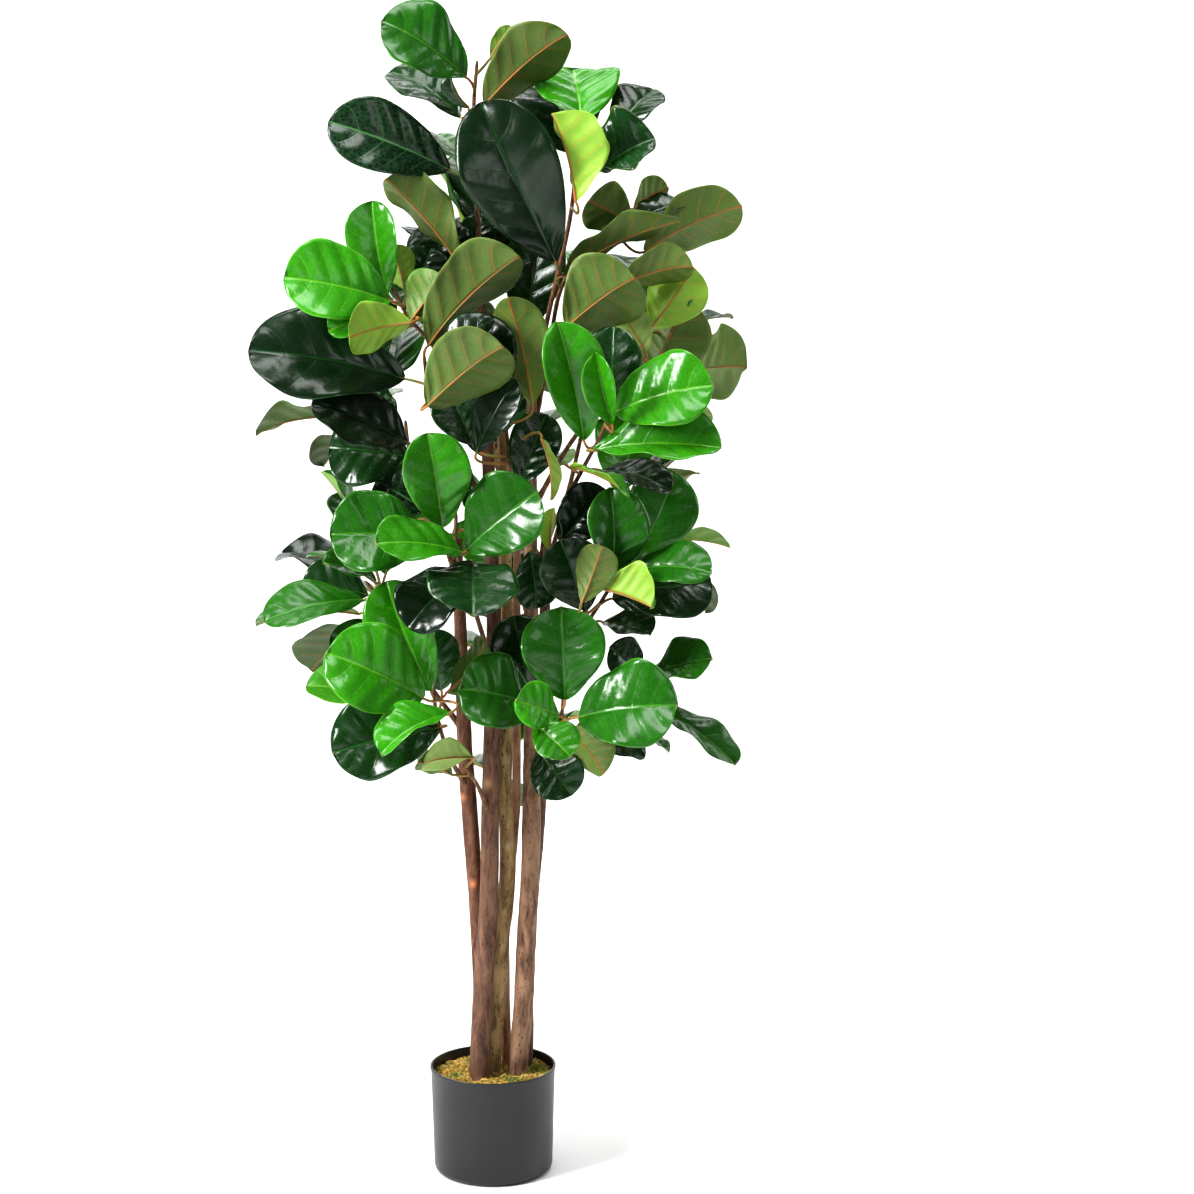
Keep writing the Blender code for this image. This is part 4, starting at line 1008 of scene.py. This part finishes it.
def blade_surface(leaf, draw):
    """The blade's middle surface as a grid of points, with its shares and real distances."""
    foot, tip, _, up, side = leaf_frame(leaf)
    width = leaf[3] * BLADE_FULLNESS
    arch = leaf[4] if len(leaf) > 4 else USUAL_ARCH
    cup = math.radians(leaf[5] if len(leaf) > 5 else USUAL_CUP)
    length = (tip - foot).length
    rows = np.linspace(0, 1, LEAF_ROWS + 1)
    along = (0.5 - 0.5 * np.cos(np.pi * rows))[:, None]
    columns = np.linspace(-1, 1, LEAF_COLUMNS + 1)[None, :]
    across = np.sign(columns) * np.abs(columns) ** COLUMN_SPREAD
    half = half_width(along, width, draw.uniform(*ROUNDNESS))
    reach = np.abs(across)
    flat = across * half * math.cos(cup)
    rise = reach * half * math.sin(cup) * (1.25 - 0.25 * reach ** 2)
    rise = rise + arch * length * 4 * along * (1 - along)
    wave = draw.uniform(*MARGIN_WAVE) * width
    turns, left, right = draw.uniform(*WAVE_TURNS), draw.uniform(0, 6.3), draw.uniform(0, 6.3)
    phase = np.where(across < 0, left, right)
    rise = rise + wave * reach ** 2.2 * np.sin(math.tau * turns * along + phase)
    rise = rise - draw.uniform(*TIP_DROOP) * length * along ** 5
    veins = VEIN_PAIRS * (along - VEIN_SLOPE * reach ** VEIN_BEND)
    cushion = np.abs(np.sin(np.pi * veins)) ** 0.7 - 0.6
    soft = np.clip(reach / 0.2, 0, 1) * np.clip((1.15 - reach) / 0.35, 0, 1) * np.clip(along * 8, 0, 1)
    rise = rise + draw.uniform(*PUCKER) * width * cushion * soft
    groove = np.exp(-((across * half / MIDRIB_GROOVE_WIDTH) ** 2)) * (1 - 0.7 * along)
    rise = rise - MIDRIB_GROOVE * groove
    twist = draw.uniform(*TWIST) * (along - 0.3)
    sideways = flat * np.cos(twist) - rise * np.sin(twist) * 0.3
    rise = rise + flat * np.sin(twist)
    points = (np.array(foot)[None, None] + along[..., None] * np.array(tip - foot)
              + sideways[..., None] * np.array(side) + rise[..., None] * np.array(up))
    share = np.stack(np.broadcast_arrays(0.5 + across / 2, along), -1)
    real = np.stack(np.broadcast_arrays(across * half * CM, along * length * CM), -1)
    return points, share, real, reach


def sheet_normals(points, up):
    """Each grid point's normal, turned to the leaf's upper side, and whether that took a turn."""
    normal = np.cross(np.gradient(points, axis=1), np.gradient(points, axis=0))
    normal /= np.maximum(np.linalg.norm(normal, axis=-1, keepdims=True), 1e-9)
    faces_up = (normal @ up).sum() > 0
    return (normal if faces_up else -normal), faces_up


def blade_faces(rows, columns, faces_up):
    """Two sheets of triangles, upper face first, and the edge that closes them; with their finishes."""
    count = rows * columns
    faces, finish = [], []
    for row in range(rows - 1):
        for column in range(columns - 1):
            a = row * columns + column
            for half in ((a, a + 1, a + columns + 1), (a, a + columns + 1, a + columns)):
                upper, under = (half, half[::-1]) if faces_up else (half[::-1], half)
                faces += [upper, tuple(i + count for i in under)]
                finish += [UPPER_FINISH, UNDER_FINISH]
    edge = list(range(columns))
    edge += [r * columns + columns - 1 for r in range(1, rows)]
    edge += [(rows - 1) * columns + c for c in range(columns - 2, -1, -1)]
    edge += [r * columns for r in range(rows - 2, 0, -1)]
    for a, b in zip(edge, edge[1:] + edge[:1]):
        quad = (b, a, a + count, b + count)
        faces.append(quad if faces_up else quad[::-1])
        finish.append(UPPER_FINISH)
    return faces, finish


def leaf_paints(age, shade):
    """The leaf's own colours, lighter or darker than the usual ones of its age."""
    codes = [linear(code) for code in LEAF_COLOURS[age]]
    return dict(zip(PAINTS, [tuple(c * shade for c in code[:3]) + (1,) for code in codes]))


def add_blade(branch, leaf, age, draw):
    """A thin closed blade; gives back its middle surface for the midrib to follow."""
    points, share, real, reach = blade_surface(leaf, draw)
    up = np.array(leaf_frame(leaf)[3])
    normal, faces_up = sheet_normals(points, up)
    thick = (LEAF_THICKNESS - (LEAF_THICKNESS - LEAF_EDGE) * reach ** 4)[..., None] / 2
    upper = (points + normal * thick).reshape(-1, 3)
    under = (points - normal * thick).reshape(-1, 3)
    faces, finish = blade_faces(*points.shape[:2], faces_up)
    branch.grow(np.concatenate([upper, under]), faces, finish,
                blade=[tuple(v) for v in share.reshape(-1, 2)] * 2,
                real=[tuple(v) for v in real.reshape(-1, 2)] * 2,
                colours=leaf_paints(age, draw.uniform(*SHADE)))
    return points, share


def add_leaf(branch, leaf, root, age, draw):
    """A blade, and under it the stalk that runs on as the midrib."""
    points, share = add_blade(branch, leaf, age, draw)
    foot, _, ahead, up, _ = leaf_frame(leaf)
    lead = foot - ahead * (foot - root).length * STALK_LEAD
    centres, radii = [], []
    for index in range(STALK_ROWS):
        t = index / STALK_ROWS
        bend = root * (1 - t) ** 2 + lead * 2 * t * (1 - t) + foot * t * t
        centres.append(bend - up * STALK_BELOW * t)
        radii.append(STALK_RADIUS * (1 + STALK_SWELL * (1 - t)))
    rows, columns = points.shape[:2]
    for row in range(0, rows - 2, 2):
        along = float(share[row, 0, 1])
        centres.append(Vector(points[row, columns // 2]) - up * (STALK_BELOW - MIDRIB_SINKS * along))
        radii.append(STALK_RADIUS + (MIDRIB_TIP_RADIUS - STALK_RADIUS) * along ** 0.7)
    verts, faces = tube(centres, radii, STALK_SIDES)
    branch.grow(verts, faces, STALK_FINISH)


def add_twig(branch, points):
    """The twig, with the swollen collar where it is plugged into its pole, and small lumps along it."""
    rows = smooth_route(points, TWIG_SPACING)
    last = len(rows) - 1
    radii = []
    for index, row in enumerate(rows):
        share = index / last
        radius = TWIG_RADIUS + (TWIG_TIP_RADIUS - TWIG_RADIUS) * share
        gone = (Vector(row) - Vector(rows[0])).length
        if gone < COLLAR_REACH:
            radius += (COLLAR_RADIUS - TWIG_RADIUS) * (1 - gone / COLLAR_REACH) ** 0.5
        radii.append(radius * (1 + TWIG_LUMP * noise.noise(Vector(row) * TWIG_LUMP_SCALE)))
    end = Vector(rows[-1]) + (Vector(rows[-1]) - Vector(rows[-2])).normalized() * TWIG_CAP
    verts, faces = tube([*rows, end], [*radii, TWIG_TIP_RADIUS / 2], TWIG_SIDES)
    branch.grow(verts, faces, TWIG_FINISH)


def make_branches():
    """Each branch as one piece: its twig and its leaves, from four finishes."""
    # A waxy coat gives the upper face streaks of light; the underside is dull, with strong veins.
    finishes = [
        leaf_face("waxy_leaf_upper_face", "leaf_top", "leaf_top_vein", 0.24, 0.22, 0.3),
        leaf_face("dull_leaf_underside", "leaf_under", "leaf_under_vein", 0.5, 0.45, 0.35),
        leaf_stalk(), twig_bark(),
    ]
    for name, points, leaves, ages in all_branches():
        branch = Branch()
        add_twig(branch, points)
        rows = smooth_route(points, 6)
        for index, leaf in enumerate(leaves):
            foot = Vector(leaf[0])
            root = nearest_on(rows, foot - Vector((0, 0, PETIOLE_DROP + STALK_STEP * (index % 3))))
            draw = random.Random(f"{name} {index}")
            add_leaf(branch, leaf, root, ages[index % len(ages)], draw)
        shown(name + "_leaves", branch.mesh(name + "_leaves", finishes), name, "foliage")


def add_light(name, place, target, size, power):
    """A soft white light that faces its target."""
    data = bpy.data.lights.new(name, "AREA")
    data.shape = "RECTANGLE"
    data.size, data.size_y = size
    data.energy = power
    light = bpy.data.objects.new(name, data)
    bpy.context.scene.collection.objects.link(light)
    light.location = place
    light.rotation_euler = (Vector(target) - Vector(place)).to_track_quat("-Z", "Y").to_euler()


def studio_floor():
    """Pale paper that runs from the floor up into a wall, so that no corner shows."""
    sweep = [(SWEEP_START + SWEEP_RADIUS * math.sin(a), SWEEP_RADIUS - SWEEP_RADIUS * math.cos(a))
             for a in (math.radians(6 * i) for i in range(16))]
    profile = [(FLOOR_FRONT, 0), *sweep, (SWEEP_START + SWEEP_RADIUS, WALL_TOP)]
    count = len(profile)
    mesh = bpy.data.meshes.new("studio_floor")
    mesh.from_pydata([(x, y, z) for x in (-FLOOR_HALF, FLOOR_HALF) for y, z in profile], [],
                     [(i, i + count, i + count + 1, i + 1) for i in range(count - 1)])
    mesh.shade_smooth()
    floor = bpy.data.objects.new("studio_floor", mesh)
    bpy.context.scene.collection.objects.link(floor)
    material, _, shader = new_material("studio_paper", Roughness=0.9)
    shader.inputs["Base Color"].default_value = (*[PAPER] * 3, 1)
    mesh.materials.append(material)


def make_studio():
    """The floor, a large soft light from the left front with weaker ones round it, and the camera."""
    studio_floor()
    for light in LIGHTS:
        add_light(*light)
    scene = bpy.context.scene
    scene.world = bpy.data.worlds.new("studio_world")
    scene.world.use_nodes = True
    background = scene.world.node_tree.nodes["Background"]
    background.inputs["Color"].default_value = (1, 1, 1, 1)
    background.inputs["Strength"].default_value = WORLD_LIGHT
    scene.view_settings.view_transform = "Standard"
    scene.view_settings.look = "Medium High Contrast"

    data = bpy.data.cameras.new("studio_camera")
    data.lens, data.sensor_width, data.clip_end = CAMERA_LENS, CAMERA_SENSOR, CAMERA_REACH
    camera = bpy.data.objects.new("studio_camera", data)
    scene.collection.objects.link(camera)
    camera.location = CAMERA_PLACE
    camera.rotation_euler = (math.radians(90 - CAMERA_DOWN), 0, math.radians(-CAMERA_RIGHT))
    scene.camera = camera


make_studio()
make_pot()
fill_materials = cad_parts["potting_fill"].data.materials
fill_materials.clear()
fill_materials.append(set_fill())
make_moss()
make_poles()
make_branches()
